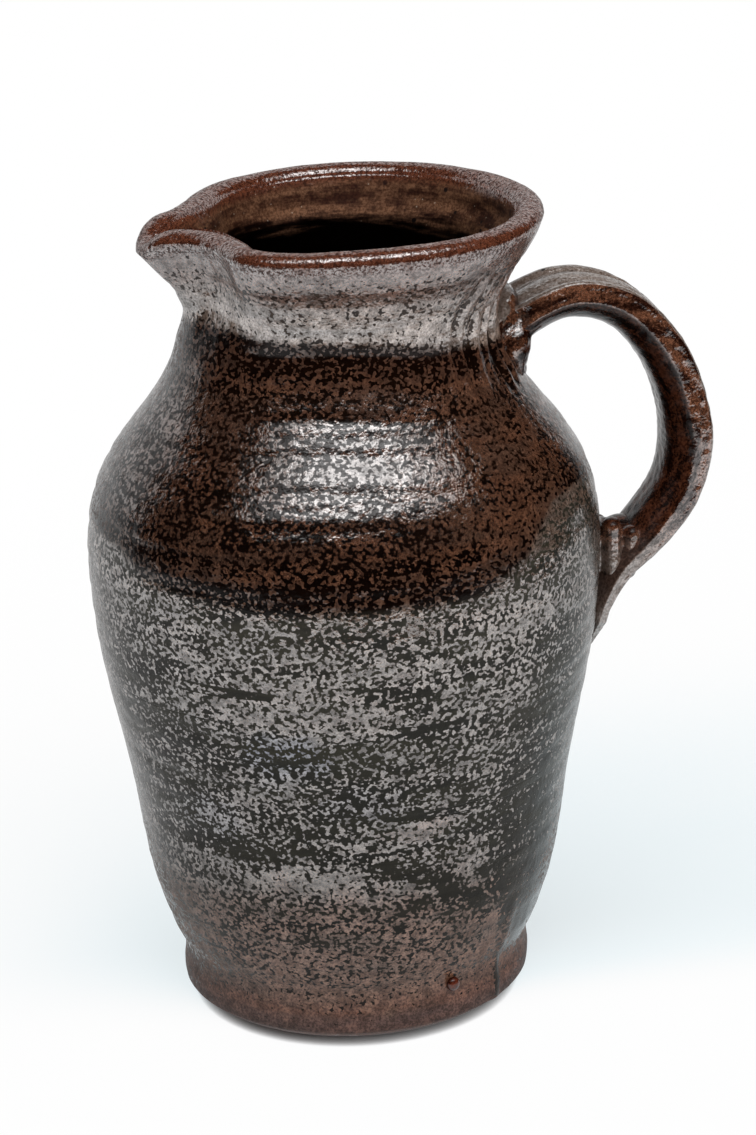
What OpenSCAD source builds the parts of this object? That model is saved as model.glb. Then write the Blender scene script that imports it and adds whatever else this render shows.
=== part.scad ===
// Stoneware jug: a thrown vessel with a pulled spout, a pulled strap handle, and the clay that joins them.
// The origin is the centre of the flat underside, +Z is up, the spout points to -X and the handle to +X.

/* [Vessel heights] */
// Height of the bevel cut under the foot
bevel_h = 6; // [4:0.5:8]
// Height from the bevel to the top of the foot
foot_h = 9.5; // [7:0.5:12]
// Height from the foot to the widest part of the belly
belly_rise = 124; // [112:1:136]
// Height from the belly to the waist of the neck
shoulder_h = 67.5; // [62:0.5:74]
// Height from the neck's waist to the top of the flare, under the lip
flare_h = 29.5; // [27:0.5:32]

/* [Vessel radii] */
// Radius of the flat underside
base_r = 41; // [38:0.5:46]
// Radius of the foot
foot_r = 52; // [50.5:0.5:55]
// Radius of the belly
belly_r = 75; // [70:0.5:80]
// Radius of the neck at its waist
neck_r = 46.5; // [43:0.5:50]
// Outer radius of the flare under the lip
flare_r = 59.5; // [57:0.5:62]
// How far the hand-thrown wall leans towards the handle at the lip
lean = 3; // [0:0.5:5]
// How far the lip slopes down from the handle's side to the spout's
lip_slope = 1; // [0:0.25:2]

/* [Walls] */
// Thickness of the thrown wall
wall_t = 6; // [4.5:0.25:7]
// Thickness of the floor
floor_t = 9; // [6:0.5:12]
// Width of the rounded lip
lip_w = 8; // [7:0.25:9]
// Height of the lip's crest over the flare
lip_h = 3.5; // [3:0.25:5]

/* [Spout] */
// Radius from the middle of the lip to the outside of the spout's tip
spout_r = 57; // [56:0.5:64]
// How far the lip is pinched in at each side of the spout
spout_pinch = 12; // [8:0.5:14]
// How far the tip dips
spout_dip = 4; // [0:0.25:6]
// How far the lip rises beside the throat
spout_rise = 1; // [0:0.25:3]
// Height over which the spout grows out of the neck
spout_h = 36; // [32:1:44]
// How far the wall is drawn in under the spout
throat_in = 4; // [0:0.5:7]

/* [Handle] */
// Width of the strap
strap_w = 25; // [21:0.5:29]
// Thickness of the strap at the middle of its loop
strap_t = 13.5; // [11:0.5:15]
// How far the loop's middle line stands out from the belly's outermost circle
loop_reach = 31; // [27:0.5:36]
// Height of the loop's crest over the neck's waist
loop_rise = 3; // [0:0.5:6]
// How far below the belly's widest circle the strap's tail ends
tail_drop = 42; // [36:0.5:46]

/* [Joins] */
// How far the clay round the strap's upper root stands proud of the neck
upper_wad_t = 5; // [4:0.25:7]
// Width of that clay
upper_wad_w = 33; // [31:0.5:36]
// Height of that clay
upper_wad_h = 30; // [26:0.5:34]
// How far below the neck's waist that clay thins out to
upper_wad_drop = 24; // [20:0.5:28]
// Width of the clay pressed in behind the strap's lower end
lower_wad_w = 22; // [18:0.5:24]
// Height of the clay behind the strap's lower end
lower_wad_h = 20; // [16:0.5:24]
// How far its top lies below the belly's widest circle
lower_wad_drop = 2; // [0:0.5:5]
// Radius of the thumbed groove down each side of it
thumb_r = 4; // [3:0.25:5]
// Radius of the bead of melted iron near the foot
bead_r = 2.2; // [1.5:0.1:3]

/* [Hidden] */

foot_z = bevel_h + foot_h;
belly_z = foot_z + belly_rise;
neck_z = belly_z + shoulder_h;
flare_z = neck_z + flare_h;

// Each row is a share of the height and of the radius from one named circle to the next.
lower_shares = [[0.09, 0.17], [0.20, 0.36], [0.32, 0.48], [0.44, 0.57], [0.57, 0.70], [0.69, 0.83], [0.82, 0.94]];
shoulder_shares = [[0.20, 0.04], [0.36, 0.16], [0.50, 0.36], [0.64, 0.62], [0.77, 0.83], [0.89, 0.96]];
flare_shares = [[0.15, 0.035], [0.20, 0.06], [0.27, 0.11], [0.34, 0.185], [0.41, 0.275], [0.54, 0.455],
    [0.68, 0.64], [0.78, 0.775], [0.88, 0.895]];
bevel_shares = [[0.20, 0.30], [0.45, 0.62], [0.70, 0.83]];
lean_shares = [[0, 0], [0.30, 0.35], [0.45, 0.52], [0.60, 0.62], [0.72, 0.70], [0.85, 0.78], [1, 1]];

function span(z0, r0, z1, r1, shares) =
    [for (s = shares) [z0 + s[0] * (z1 - z0), r0 + s[1] * (r1 - r0)]];

outline = concat(
    [[0, base_r]],
    span(0, base_r, bevel_h, foot_r, bevel_shares),
    [[bevel_h, foot_r], [foot_z, foot_r]],
    span(foot_z, foot_r, belly_z, belly_r, lower_shares),
    [[belly_z, belly_r]],
    span(belly_z, belly_r, neck_z, neck_r, shoulder_shares),
    [[neck_z, neck_r]],
    span(neck_z, neck_r, flare_z, flare_r, flare_shares),
    [[flare_z, flare_r]]
);

// A smooth curve through rows of [x, y], read at x.
function slope(rows, i) =
    let (n = len(rows), a = max(i - 1, 0), b = min(i + 1, n - 1))
    (rows[b][1] - rows[a][1]) / (rows[b][0] - rows[a][0]);
function row_at(rows, x, i = 0) =
    i >= len(rows) - 2 || x <= rows[i + 1][0] ? i : row_at(rows, x, i + 1);
function curve(rows, x) =
    let (i = row_at(rows, x), w = rows[i + 1][0] - rows[i][0], t = (x - rows[i][0]) / w)
    (2 * t ^ 3 - 3 * t ^ 2 + 1) * rows[i][1] + (t ^ 3 - 2 * t ^ 2 + t) * w * slope(rows, i)
        + (3 * t ^ 2 - 2 * t ^ 3) * rows[i + 1][1] + (t ^ 3 - t ^ 2) * w * slope(rows, i + 1);

function sway(z) = lean * curve(lean_shares, min(z / flare_z, 1));
function smooth(t) = let (u = min(max(t, 0), 1)) u * u * (3 - 2 * u);

// The spout's pull on the lip, by degrees from its axis: in or out at the tip, and in where it is pinched.
// One side is pinched sharply and the other runs gently into the round of the lip.
tip_shares = [[0, 1], [6, 0.90], [12, 0.30], [17, 0], [180, 0]];
sharp_shares = [[0, 0], [6, 0.05], [12, 0.34], [16, 0.62], [20, 0.86], [26, 1], [33, 0.98], [41, 0.82], [49, 0.46],
    [58, 0.28], [75, 0.27], [95, 0.24], [113, 0.09], [130, 0], [180, 0]];
gentle_shares = [[0, 0], [6, 0.07], [12, 0.36], [17, 0.68], [22, 0.86], [30, 0.95], [37, 0.92], [48, 0.74],
    [61, 0.54], [76, 0.34], [97, 0.12], [120, 0], [180, 0]];
function pinch(turn) = curve(turn > 0 ? sharp_shares : gentle_shares, abs(turn));
function tip(turn) = curve(tip_shares, abs(turn));
function pull_out(turn) = (spout_r - flare_r) * tip(turn) - spout_pinch * pinch(turn);
function pull_up(turn) = (turn > 0 ? spout_rise * pinch(turn) : 0) - spout_dip * tip(turn);

// Under the spout the wall is drawn in round the throat, most of all halfway up the flare.
throat_shares = [[0, 0], [0.15, 0.10], [0.35, 0.55], [0.55, 0.84], [0.72, 0.88], [0.90, 0.44], [1, 0]];
throat_turn_shares = [[0, 1], [20, 0.90], [34, 0.55], [48, 0.20], [66, 0], [180, 0]];
function throat(turn, part) = part <= 0 || part >= 1 ? 0
    : throat_in * curve(throat_shares, part) * curve(throat_turn_shares, abs(turn));

// A point of the thrown wall's outer face. The angle runs from the handle's side, with the spout at 180.
function wall_point(angle, z, r) =
    let (
        turn = (angle + 360) % 360 - 180,
        part = (z - (flare_z - spout_h)) / spout_h,
        grown = smooth(part),
        out = r + pull_out(turn) * grown - throat(turn, part)
    )
    [sway(z) + out * cos(angle), out * sin(angle), z + (pull_up(turn) - lip_slope * (1 - abs(turn) / 180)) * grown];

fine_step = 3;
coarse_step = 10;
spout_zone = 60;
angles = concat(
    [for (a = [0 : coarse_step : 180 - spout_zone - coarse_step]) a],
    [for (a = [180 - spout_zone : fine_step : 180 + spout_zone - fine_step]) a],
    [for (a = [180 + spout_zone : coarse_step : 360 - coarse_step]) a]
);
columns = len(angles);

// Heights of the rings: every row of the outline, and above the belly one between each two.
heights = [
    for (i = [0 : len(outline) - 1])
        for (part = outline[i][0] < belly_z || i == len(outline) - 1 ? [0] : [0, 1 / 2])
            outline[i][0] + part * (outline[min(i + 1, len(outline) - 1)][0] - outline[i][0])
];
rings = len(heights);
outer = [for (z = heights) [for (a = angles) wall_point(a, z, curve(outline, z))]];

function unit(v) = v / norm(v);
function around(k) = (k + columns) % columns;
function wall_normal(i, k) =
    unit(cross(
        outer[i][around(k + 1)] - outer[i][around(k - 1)],
        outer[min(i + 1, rings - 1)][k] - outer[max(i - 1, 0)][k]
    ));
normals = [for (i = [0 : rings - 1]) [for (k = [0 : columns - 1]) wall_normal(i, k)]];

// The lip rolls from the outer face over its crest to the inner face.
lip_steps = 6;
lip = [for (s = [1 : lip_steps - 1]) [
    for (k = [0 : columns - 1])
        let (edge = outer[rings - 1][k], n = unit([normals[rings - 1][k][0], normals[rings - 1][k][1], 0]))
        edge - n * lip_w / 2 * (1 - cos(180 * s / lip_steps)) + [0, 0, lip_h * sin(180 * s / lip_steps)]
]];

// The inner face follows the outer one a wall's thickness in, and turns into the floor.
inner_top = rings - 2;
inner_start = len(bevel_shares) + 3;
function wall_at(i) = i >= rings - 3 ? (wall_t + lip_w) / 2 : wall_t;
inner = [for (i = [inner_top : -1 : inner_start]) [
    for (k = [0 : columns - 1]) outer[i][k] - normals[i][k] * wall_at(i)
]];
floor_shares = [[0.94, 0.35], [0.80, 0.08], [0.45, 0]];
floor_rise = foot_z - floor_t;
floor_r = foot_r - wall_t;
floor_rings = [for (s = floor_shares) [
    for (a = angles) [floor_r * s[0] * cos(a), floor_r * s[0] * sin(a), floor_t + floor_rise * s[1]]
]];

// Faces between stacked rings, numbered ring by ring.
function band_faces(n, count) = [
    for (i = [0 : n - 2]) for (k = [0 : count - 1])
        let (a = i * count + k, b = i * count + (k + 1) % count, c = b + count, d = a + count)
            each [[a, d, c], [a, c, b]]
];
function cap_faces(first, count, centre, flip) = [
    for (k = [0 : count - 1]) flip
        ? [first + (k + 1) % count, first + k, centre]
        : [first + k, first + (k + 1) % count, centre]
];

module thrown_body() {
    stack = concat(outer, lip, inner, floor_rings);
    points = [for (ring = stack) each ring];
    underside = len(points);
    color([0.36, 0.30, 0.27])
        polyhedron(
            points = concat(points, [[0, 0, 0], [0, 0, floor_t]]),
            faces = concat(
                band_faces(len(stack), columns),
                cap_faces(0, columns, underside, false),
                cap_faces((len(stack) - 1) * columns, columns, underside + 1, true)
            )
        );
}

// A stretch of the wall filled to its axis, from one ring to another and so many columns each side of one.
// It trims what is pressed on to the wall, so that the two meet face to face.
module wall_core(low, top, middle, reach) {
    picked = [for (k = [-reach : reach]) around(middle + k)];
    count = len(picked);
    n = top - low + 1;
    skin = [for (i = [low : top]) for (k = picked) outer[i][k]];
    axis = [for (i = [low : top]) [sway(heights[i]), 0, heights[i]]];
    a0 = len(skin);
    polyhedron(
        points = concat(skin, axis),
        faces = concat(
            [for (i = [0 : n - 2]) for (k = [0 : count - 2])
                let (a = i * count + k, b = a + 1, c = b + count, d = a + count)
                    each [[a, d, c], [a, c, b]]],
            [for (i = [0 : n - 2])
                let (p = i * count, q = a0 + i) each [[p, q, q + 1], [p, q + 1, p + count]]],
            [for (i = [0 : n - 2])
                let (p = (i + 1) * count - 1, q = a0 + i) each [[q, p, p + count], [q, p + count, q + 1]]],
            [for (k = [0 : count - 2]) [k, k + 1, a0]],
            [for (k = [0 : count - 2]) let (p = (n - 1) * count + k) [p + 1, p, a0 + n - 1]]
        )
    );
}
function ring_under(z) = max([for (i = [0 : rings - 1]) if (heights[i] < z) i]);
module handle_core() {
    wall_core(ring_under(tail_z - strap_t), rings - 2, 0, 3);
}

// The strap's middle line in the XZ plane, from inside the neck, over the loop, to the tail.
loop_x = belly_r + loop_reach;
loop_top = neck_z + loop_rise;
tail_z = belly_z - tail_drop;
root_x = neck_r - wall_t / 2;
tail_x = sway(tail_z) + curve(outline, tail_z);
// Shares of the way out to the loop from the root, then back in to the wall at the tail, and of its height.
rise_shares = [[0, 0.85], [0.19, 0.935], [0.42, 0.985], [0.65, 0.955], [0.83, 0.865], [0.945, 0.74], [0.99, 0.59]];
fall_shares = [[0.918, 0.46], [0.652, 0.345], [0.342, 0.253], [0.158, 0.173], [0.071, 0.089], [0.040, 0]];
strap_line = concat(
    [for (s = rise_shares) [root_x + s[0] * (loop_x - root_x), tail_z + s[1] * (loop_top - tail_z)]],
    [for (s = fall_shares) [tail_x + s[0] * (loop_x - tail_x), tail_z + s[1] * (loop_top - tail_z)]]
);
// Thickness and width of the strap at each of those points, as shares of its own.
thick_shares = [1.30, 0.98, 0.90, 0.92, 0.96, 1, 1, 1, 0.96, 0.76, 0.54, 0.46, 0.42];
width_shares = [1.20, 1.08, 0.98, 0.95, 0.95, 0.97, 1, 1, 1.03, 1.08, 1.10, 1.02, 0.72];
// Half of the strap's section, from the middle of its inner face to the spine of its outer face.
section_shares = [[-0.50, 0], [-0.48, 0.20], [-0.38, 0.36], [-0.18, 0.46], [0.08, 0.50], [0.32, 0.48], [0.46, 0.40],
    [0.42, 0.22], [0.48, 0]];
section = concat(
    section_shares,
    [for (i = [len(section_shares) - 2 : -1 : 1]) [section_shares[i][0], -section_shares[i][1]]]
);

function numbered(list, j) = [for (i = [0 : len(list) - 1]) [i, j < 0 ? list[i] : list[i][j]]];
strap_steps = 3;
function on_strap(s) = [curve(numbered(strap_line, 0), s), curve(numbered(strap_line, 1), s)];
strap_rings = [for (s = [0 : 1 / strap_steps : len(strap_line) - 1])
    let (
        at = on_strap(s),
        along = unit(on_strap(s + 1 / strap_steps) - on_strap(s - 1 / strap_steps)),
        out = [-along[1], along[0]],
        t = strap_t * curve(numbered(thick_shares, -1), s),
        w = strap_w * curve(numbered(width_shares, -1), s)
    )
    [for (p = section) [at[0] + out[0] * p[0] * t, p[1] * w, at[1] + out[1] * p[0] * t]]
];

module stacked(ring_list) {
    count = len(ring_list[0]);
    polyhedron(
        points = [for (ring = ring_list) each ring],
        faces = concat(
            band_faces(len(ring_list), count),
            [[for (k = [0 : count - 1]) k]],
            [[for (k = [count - 1 : -1 : 0]) (len(ring_list) - 1) * count + k]]
        )
    );
}

module handle_strap() {
    color([0.33, 0.24, 0.20])
        difference() {
            stacked(strap_rings);
            handle_core();
        }
}

// Clay smeared round the strap's root: rings of rounded outline, widest at the root, that thin out below it.
wad_sides = 16;
wad_top = neck_z - upper_wad_drop + upper_wad_h;
wad_shares = [[0, 0.30, 0.20], [0.18, 0.50, 0.55], [0.38, 0.78, 0.85], [0.58, 0.97, 1], [0.76, 1, 0.95],
    [0.90, 0.86, 0.70], [1, 0.60, 0.30]];
module upper_join_wad() {
    color([0.35, 0.26, 0.21])
        difference() {
            stacked([for (s = wad_shares)
                let (z = neck_z - upper_wad_drop + s[0] * upper_wad_h, x = sway(z) + curve(outline, z))
                [for (k = [0 : wad_sides - 1])
                    let (a = -360 * k / wad_sides)
                    [x + cos(a) * (a < -90 && a > -270 ? wall_t : upper_wad_t * s[2]),
                        sin(a) * upper_wad_w / 2 * s[1], z]]
            ]);
            handle_core();
            stacked(strap_rings);
        }
}

// Clay pressed into the corner over the tail, thumbed hollow down both sides and along its top.
wad_high = belly_z - lower_wad_drop;
wad_low = wad_high - lower_wad_h;
module lower_join_wad() {
    wall_x = sway(belly_z) + belly_r;
    back_x = wall_x - wall_t;
    on_line = [for (s = [0 : 1 / strap_steps : len(strap_line) - 1])
        let (p = on_strap(s)) if (p[1] < wad_high && p[1] > wad_low) p];
    groove_x = wall_x + thumb_r;
    color([0.36, 0.27, 0.22])
        difference() {
            rotate([90, 0, 0])
                linear_extrude(lower_wad_w, center = true)
                    polygon(concat([[back_x, wad_low], [back_x, wad_high]],
                        [[on_line[0][0], wad_high]], on_line, [[on_line[len(on_line) - 1][0], wad_low]]));
            handle_core();
            stacked(strap_rings);
            for (side = [-1, 1])
                translate([groove_x, side * (lower_wad_w / 2 + thumb_r / 3), wad_low - thumb_r])
                    cylinder(r = thumb_r, h = lower_wad_h + 2 * thumb_r, $fn = 32);
        }
}

// The bead hangs at the top of the foot, on the side where the lip is sharply pinched.
bead_angle = 292;
bead_z = foot_z + bead_r / 2;
module iron_bead() {
    k = max([for (i = [0 : columns - 1]) if (angles[i] <= bead_angle) i]);
    wall = wall_point(bead_angle, bead_z, curve(outline, bead_z));
    color([0.30, 0.12, 0.08])
        difference() {
            translate(wall) sphere(r = bead_r, $fn = 32);
            wall_core(1, ring_under(bead_z) + 3, k, 2);
        }
}

thrown_body();
handle_strap();
upper_join_wad();
lower_join_wad();
iron_bead();
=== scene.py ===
import bmesh
import bpy
import math
import numpy as np
from mathutils import Matrix, Vector


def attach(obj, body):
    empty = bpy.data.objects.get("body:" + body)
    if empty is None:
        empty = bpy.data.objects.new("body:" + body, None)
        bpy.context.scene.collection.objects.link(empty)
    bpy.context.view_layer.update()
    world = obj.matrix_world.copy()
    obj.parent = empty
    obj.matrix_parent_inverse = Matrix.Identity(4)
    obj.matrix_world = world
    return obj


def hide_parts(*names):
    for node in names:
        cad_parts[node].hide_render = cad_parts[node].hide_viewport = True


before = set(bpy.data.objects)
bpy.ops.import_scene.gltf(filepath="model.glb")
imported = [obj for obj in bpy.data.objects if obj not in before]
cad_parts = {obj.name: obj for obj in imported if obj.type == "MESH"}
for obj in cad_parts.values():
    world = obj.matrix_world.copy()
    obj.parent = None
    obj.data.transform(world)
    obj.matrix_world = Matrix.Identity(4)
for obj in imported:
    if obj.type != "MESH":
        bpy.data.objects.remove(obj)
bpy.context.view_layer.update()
scene = bpy.context.scene
mm = 0.001

# camera
cameraSetup = {
    "place": (-0.17365, -0.98481, 0.48327),
    "turn": 10.0,          # degrees round the jug, from its front
    "pitch": 0.3388,
    "yaw": 0.0114,
    "roll": -0.0401,
    "lens": 114.69,
    "sensor": 36.0,
    "nearest": 0.05,
}


def placeCamera(setup):
    cp, sp = math.cos(setup["pitch"]), math.sin(setup["pitch"])
    ahead = Vector((math.sin(setup["yaw"]) * cp, math.cos(setup["yaw"]) * cp, -sp))
    right = ahead.cross(Vector((0, 0, 1))).normalized()
    up = right.cross(ahead)
    c, s = math.cos(setup["roll"]), math.sin(setup["roll"])
    right, up = c * right + s * up, -s * right + c * up
    spin = Matrix.Rotation(math.radians(-setup["turn"]), 3, "Z")
    right, up, ahead = spin @ right, spin @ up, spin @ ahead
    turned = Matrix((right, up, -ahead)).transposed().to_4x4()
    data = bpy.data.cameras.new("studioCamera")
    data.lens = setup["lens"]
    data.sensor_width = setup["sensor"]
    data.clip_start = setup["nearest"]
    camera = bpy.data.objects.new("studioCamera", data)
    camera.matrix_world = Matrix.Translation(Vector(setup["place"])) @ turned
    scene.collection.objects.link(camera)
    scene.camera = camera


placeCamera(cameraSetup)
scene.view_settings.view_transform = "Standard"
print("camera placed")


# curves and ripples
def curveThrough(rows):
    xs, ys = np.array(rows, float).T
    n = len(xs)
    low = np.maximum(np.arange(n) - 1, 0)
    high = np.minimum(np.arange(n) + 1, n - 1)
    slopes = (ys[high] - ys[low]) / (xs[high] - xs[low])

    def read(x):
        x = np.asarray(x, float)
        i = np.clip(np.searchsorted(xs, x, side="left") - 1, 0, n - 2)
        w = xs[i + 1] - xs[i]
        t = (x - xs[i]) / w
        return ((2 * t**3 - 3 * t**2 + 1) * ys[i] + (t**3 - 2 * t**2 + t) * w * slopes[i]
                + (3 * t**2 - 2 * t**3) * ys[i + 1] + (t**3 - t**2) * w * slopes[i + 1])
    return read


def smoothStep(t):
    u = np.clip(t, 0, 1)
    return u * u * (3 - 2 * u)


def ripples(angle, z, around, seed, shortest, longest, count):
    # waves in every direction that close on themselves once round the pot; result is about -1 to 1
    rng = np.random.default_rng(seed)
    total = np.zeros(np.broadcast(angle, z).shape)
    for _ in range(count):
        length = rng.uniform(shortest, longest)
        tilt = rng.uniform(0, 2 * math.pi)
        turns = round(2 * math.pi * around / length * math.cos(tilt))
        rise = 2 * math.pi / length * math.sin(tilt)
        total = total + np.sin(turns * np.radians(angle) + rise * z + rng.uniform(0, 6.283))
    return total / math.sqrt(count / 2) / 2


def shadeSmooth(mesh):
    mesh.polygons.foreach_set("use_smooth", np.ones(len(mesh.polygons), bool))
    mesh.update()


def readPoints(mesh):
    # places in millimetres, and normals
    found = []
    for label in ("co", "normal"):
        values = np.zeros(len(mesh.vertices) * 3, np.float32)
        mesh.vertices.foreach_get(label, values)
        found.append(values.reshape(-1, 3).astype(float))
    return found[0] / mm, found[1]


def writePoints(mesh, co):
    mesh.vertices.foreach_set("co", (co * mm).astype(np.float32).ravel())


def markPoints(mesh, marks):
    for label, values in marks.items():
        kept = mesh.attributes.new(label, "FLOAT", "POINT").data
        kept.foreach_set("value", np.asarray(values, np.float32))


def addPiece(name, mesh, material, nodes):
    piece = bpy.data.objects.new(name, mesh)
    scene.collection.objects.link(piece)
    mesh.materials.clear()
    mesh.materials.append(material)
    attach(piece, "root")
    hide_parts(*nodes)
    return piece


# the thrown body
jugWall = {
    "bevel": 6.0, "foot": 9.5, "bellyRise": 124.0, "shoulder": 67.5, "flare": 29.5,
    "baseRadius": 41.0, "footRadius": 52.0, "bellyRadius": 75.0, "neckRadius": 46.5, "flareRadius": 59.5,
    "lean": 3.0, "lipSlope": 1.0, "wall": 6.0, "floor": 9.0, "lipWidth": 8.0, "lipHeight": 3.5,
    "spoutRadius": 57.0, "spoutPinch": 12.0, "spoutDip": 4.0, "spoutRise": 1.0, "spoutHeight": 36.0,
    "throat": 4.0, "columns": 280, "rowStep": 1.0,
    "skinDepth": 0.35, "bevelRows": 9, "slopeStep": 0.5, "underMiddle": 0.36, "floorMiddle": 0.8,
    "lipSteps": 14, "lipWaver": 0.02, "lipSink": 0.15, "lipRise": 0.14, "lipRound": 0.85,
    # below the flare: where the lip's thickness starts and its fade, and where the marks of the lip start
    "lipBlend": (14.0, 13.0), "lipMark": 4.5, "mouthMark": 9.0,
    # the inner face: rows close together near the mouth, and wide apart below
    "innerStep": 1.5, "innerReach": 62.0, "deepStep": 4.0, "deepFrom": 64.0, "deepTo": 14.0,
    # finger rings, outside and inside, and the softer unevenness
    "ridgeDepth": 0.20, "ridgePitch": 8.6, "ridgeFoot": 16.0, "ridgeTop": 12.0, "ridgeStart": 135.0,
    "innerRidgeDepth": 0.42, "innerRidgePitch": 7.4, "innerGrain": 0.05, "sag": 0.30, "peel": 0.055,
    "ridgeFades": (10.0, 12.0), "ridgeDrift": 1.6, "ridgeForce": (0.45, 0.55), "ridgeSecond": (0.45, 0.8),
    "collarDepth": 0.45, "collarFoot": 10.5, "collarEdge": 1.6,
    # waves: girth in millimetres, seed, shortest, longest and count
    "waves": {"ridgeDrift": (70, 3, 60, 140, 10), "ridgeForce": (70, 4, 40, 120, 12),
              "sag": (70, 5, 45, 160, 14), "peel": (70, 6, 4.5, 10, 60), "lip": (58, 8, 9, 60, 18),
              "wiped": (46, 9, 2.4, 6.0, 16), "innerDrift": (50, 11, 60, 160, 8),
              "innerForce": (50, 12, 40, 130, 10), "innerGrain": (50, 13, 5, 11, 40)},
    # a run of glaze near the foot: angle, lean, half width, top and fade
    "runDepth": 0.55, "runAngle": 311.5, "runLean": 0.045, "runWidth": 1.7, "runTop": 44.0, "runFade": 14.0,
    # streaks wiped beside the handle: angle, reach round the neck, foot and top
    "wipeDepth": 1.05, "wipeAngle": 322.0, "wipeReach": 26.0, "wipeFoot": 186.0, "wipeTop": 229.0,
    "wipeStretch": 0.12,
    # rings of the inner floor and of the underside: share of the radius, and lift
    "floorRings": [(0.97, 0.55), (0.90, 0.25), (0.78, 0.08), (0.55, 0.0), (0.28, 0.03), (0.10, 0.10)],
    "underRings": [(0.06, 0.35), (0.45, 0.32), (0.82, 0.28), (0.90, 0.0)],
    # lines scored by the rib: height, depth and half width
    "scored": [(104.0, 0.22, 0.8), (88.5, 0.20, 0.7), (66.0, 0.26, 0.9), (58.0, 0.16, 0.7),
               (121.0, 0.16, 0.8), (152.0, 0.14, 0.8), (171.0, 0.16, 1.0), (186.0, 0.2, 1.0)],
    # how far they wander and where they break: girth, then shortest, longest and count of the waves
    "scoredDrift": 1.2, "scoredGirth": 70, "scoredWander": (90, 300, 6), "scoredBreaks": (80, 260, 6),
}
w = jugWall
footZ = w["bevel"] + w["foot"]
bellyZ = footZ + w["bellyRise"]
neckZ = bellyZ + w["shoulder"]
flareZ = neckZ + w["flare"]
# hoops left by the tools: height, depth and half width
hoops = [(flareZ - 13.5, 0.35, 1.3), (footZ + 4.0, 0.5, 3.2), (11.0, -0.35, 3.5)]


def between(z0, r0, z1, r1, shares):
    return [(z0 + a * (z1 - z0), r0 + b * (r1 - r0)) for a, b in shares]


outlineRows = (
    [(0, w["baseRadius"])]
    + between(0, w["baseRadius"], w["bevel"], w["footRadius"], [(0.20, 0.30), (0.45, 0.62), (0.70, 0.83)])
    + [(w["bevel"], w["footRadius"]), (footZ, w["footRadius"])]
    + between(footZ, w["footRadius"], bellyZ, w["bellyRadius"],
              [(0.09, 0.17), (0.20, 0.36), (0.32, 0.48), (0.44, 0.57), (0.57, 0.70), (0.69, 0.83),
               (0.82, 0.94)])
    + [(bellyZ, w["bellyRadius"])]
    + between(bellyZ, w["bellyRadius"], neckZ, w["neckRadius"],
              [(0.20, 0.04), (0.36, 0.16), (0.50, 0.36), (0.64, 0.62), (0.77, 0.83), (0.89, 0.96)])
    + [(neckZ, w["neckRadius"])]
    + between(neckZ, w["neckRadius"], flareZ, w["flareRadius"],
              [(0.15, 0.035), (0.20, 0.06), (0.27, 0.11), (0.34, 0.185), (0.41, 0.275), (0.54, 0.455),
               (0.68, 0.64), (0.78, 0.775), (0.88, 0.895)])
    + [(flareZ, w["flareRadius"])]
)
outlineAt = curveThrough(outlineRows)
leanAt = curveThrough([(0, 0), (0.30, 0.35), (0.45, 0.52), (0.60, 0.62), (0.72, 0.70), (0.85, 0.78), (1, 1)])
tipAt = curveThrough([(0, 1), (6, 0.90), (12, 0.30), (17, 0), (180, 0)])
sharpAt = curveThrough([(0, 0), (6, 0.05), (12, 0.34), (16, 0.62), (20, 0.86), (26, 1), (33, 0.98),
                        (41, 0.82), (49, 0.46), (58, 0.28), (75, 0.27), (95, 0.24), (113, 0.09), (130, 0),
                        (180, 0)])
gentleAt = curveThrough([(0, 0), (6, 0.07), (12, 0.36), (17, 0.68), (22, 0.86), (30, 0.95), (37, 0.92),
                         (48, 0.74), (61, 0.54), (76, 0.34), (97, 0.12), (120, 0), (180, 0)])
throatAt = curveThrough([(0, 0), (0.15, 0.10), (0.35, 0.55), (0.55, 0.84), (0.72, 0.88), (0.90, 0.44),
                         (1, 0)])
throatTurnAt = curveThrough([(0, 1), (20, 0.90), (34, 0.55), (48, 0.20), (66, 0), (180, 0)])


def swayAt(z):
    return w["lean"] * leanAt(np.minimum(np.asarray(z, float) / flareZ, 1))


def wallPoint(angle, z, r):
    # a point of the thrown wall's outer face; the spout is at 180 degrees and the handle at 0
    turn = np.mod(angle + 360, 360) - 180
    part = (z - (flareZ - w["spoutHeight"])) / w["spoutHeight"]
    grown = smoothStep(part)
    pinch = np.where(turn > 0, sharpAt(abs(turn)), gentleAt(abs(turn)))
    tip = tipAt(abs(turn))
    inside = np.clip(part, 0, 1)
    throat = w["throat"] * throatAt(inside) * throatTurnAt(abs(turn))
    out = r + ((w["spoutRadius"] - w["flareRadius"]) * tip - w["spoutPinch"] * pinch) * grown - throat
    up = np.where(turn > 0, w["spoutRise"] * pinch, 0) - w["spoutDip"] * tip
    a = np.radians(angle)
    rise = z + (up - w["lipSlope"] * (1 - abs(turn) / 180)) * grown
    return np.stack(np.broadcast_arrays(swayAt(z) + out * np.cos(a), out * np.sin(a), rise), -1)


def wavesAt(label, angle, z):
    return ripples(angle, z, *w["waves"][label])


def wipedAt(angle, z):
    # upright streaks where the wet wall was wiped beside the handle
    off = np.mod(angle - w["wipeAngle"] + 180, 360) - 180
    near = smoothStep((w["wipeReach"] - abs(off)) / 12)
    near = near * smoothStep((z - w["wipeFoot"]) / 10) * smoothStep((w["wipeTop"] - z) / 6)
    return near * wavesAt("wiped", angle, w["wipeStretch"] * z)


def hoopAt(z, middle, spread):
    return np.exp(-((z - middle) / spread) ** 2)


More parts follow.
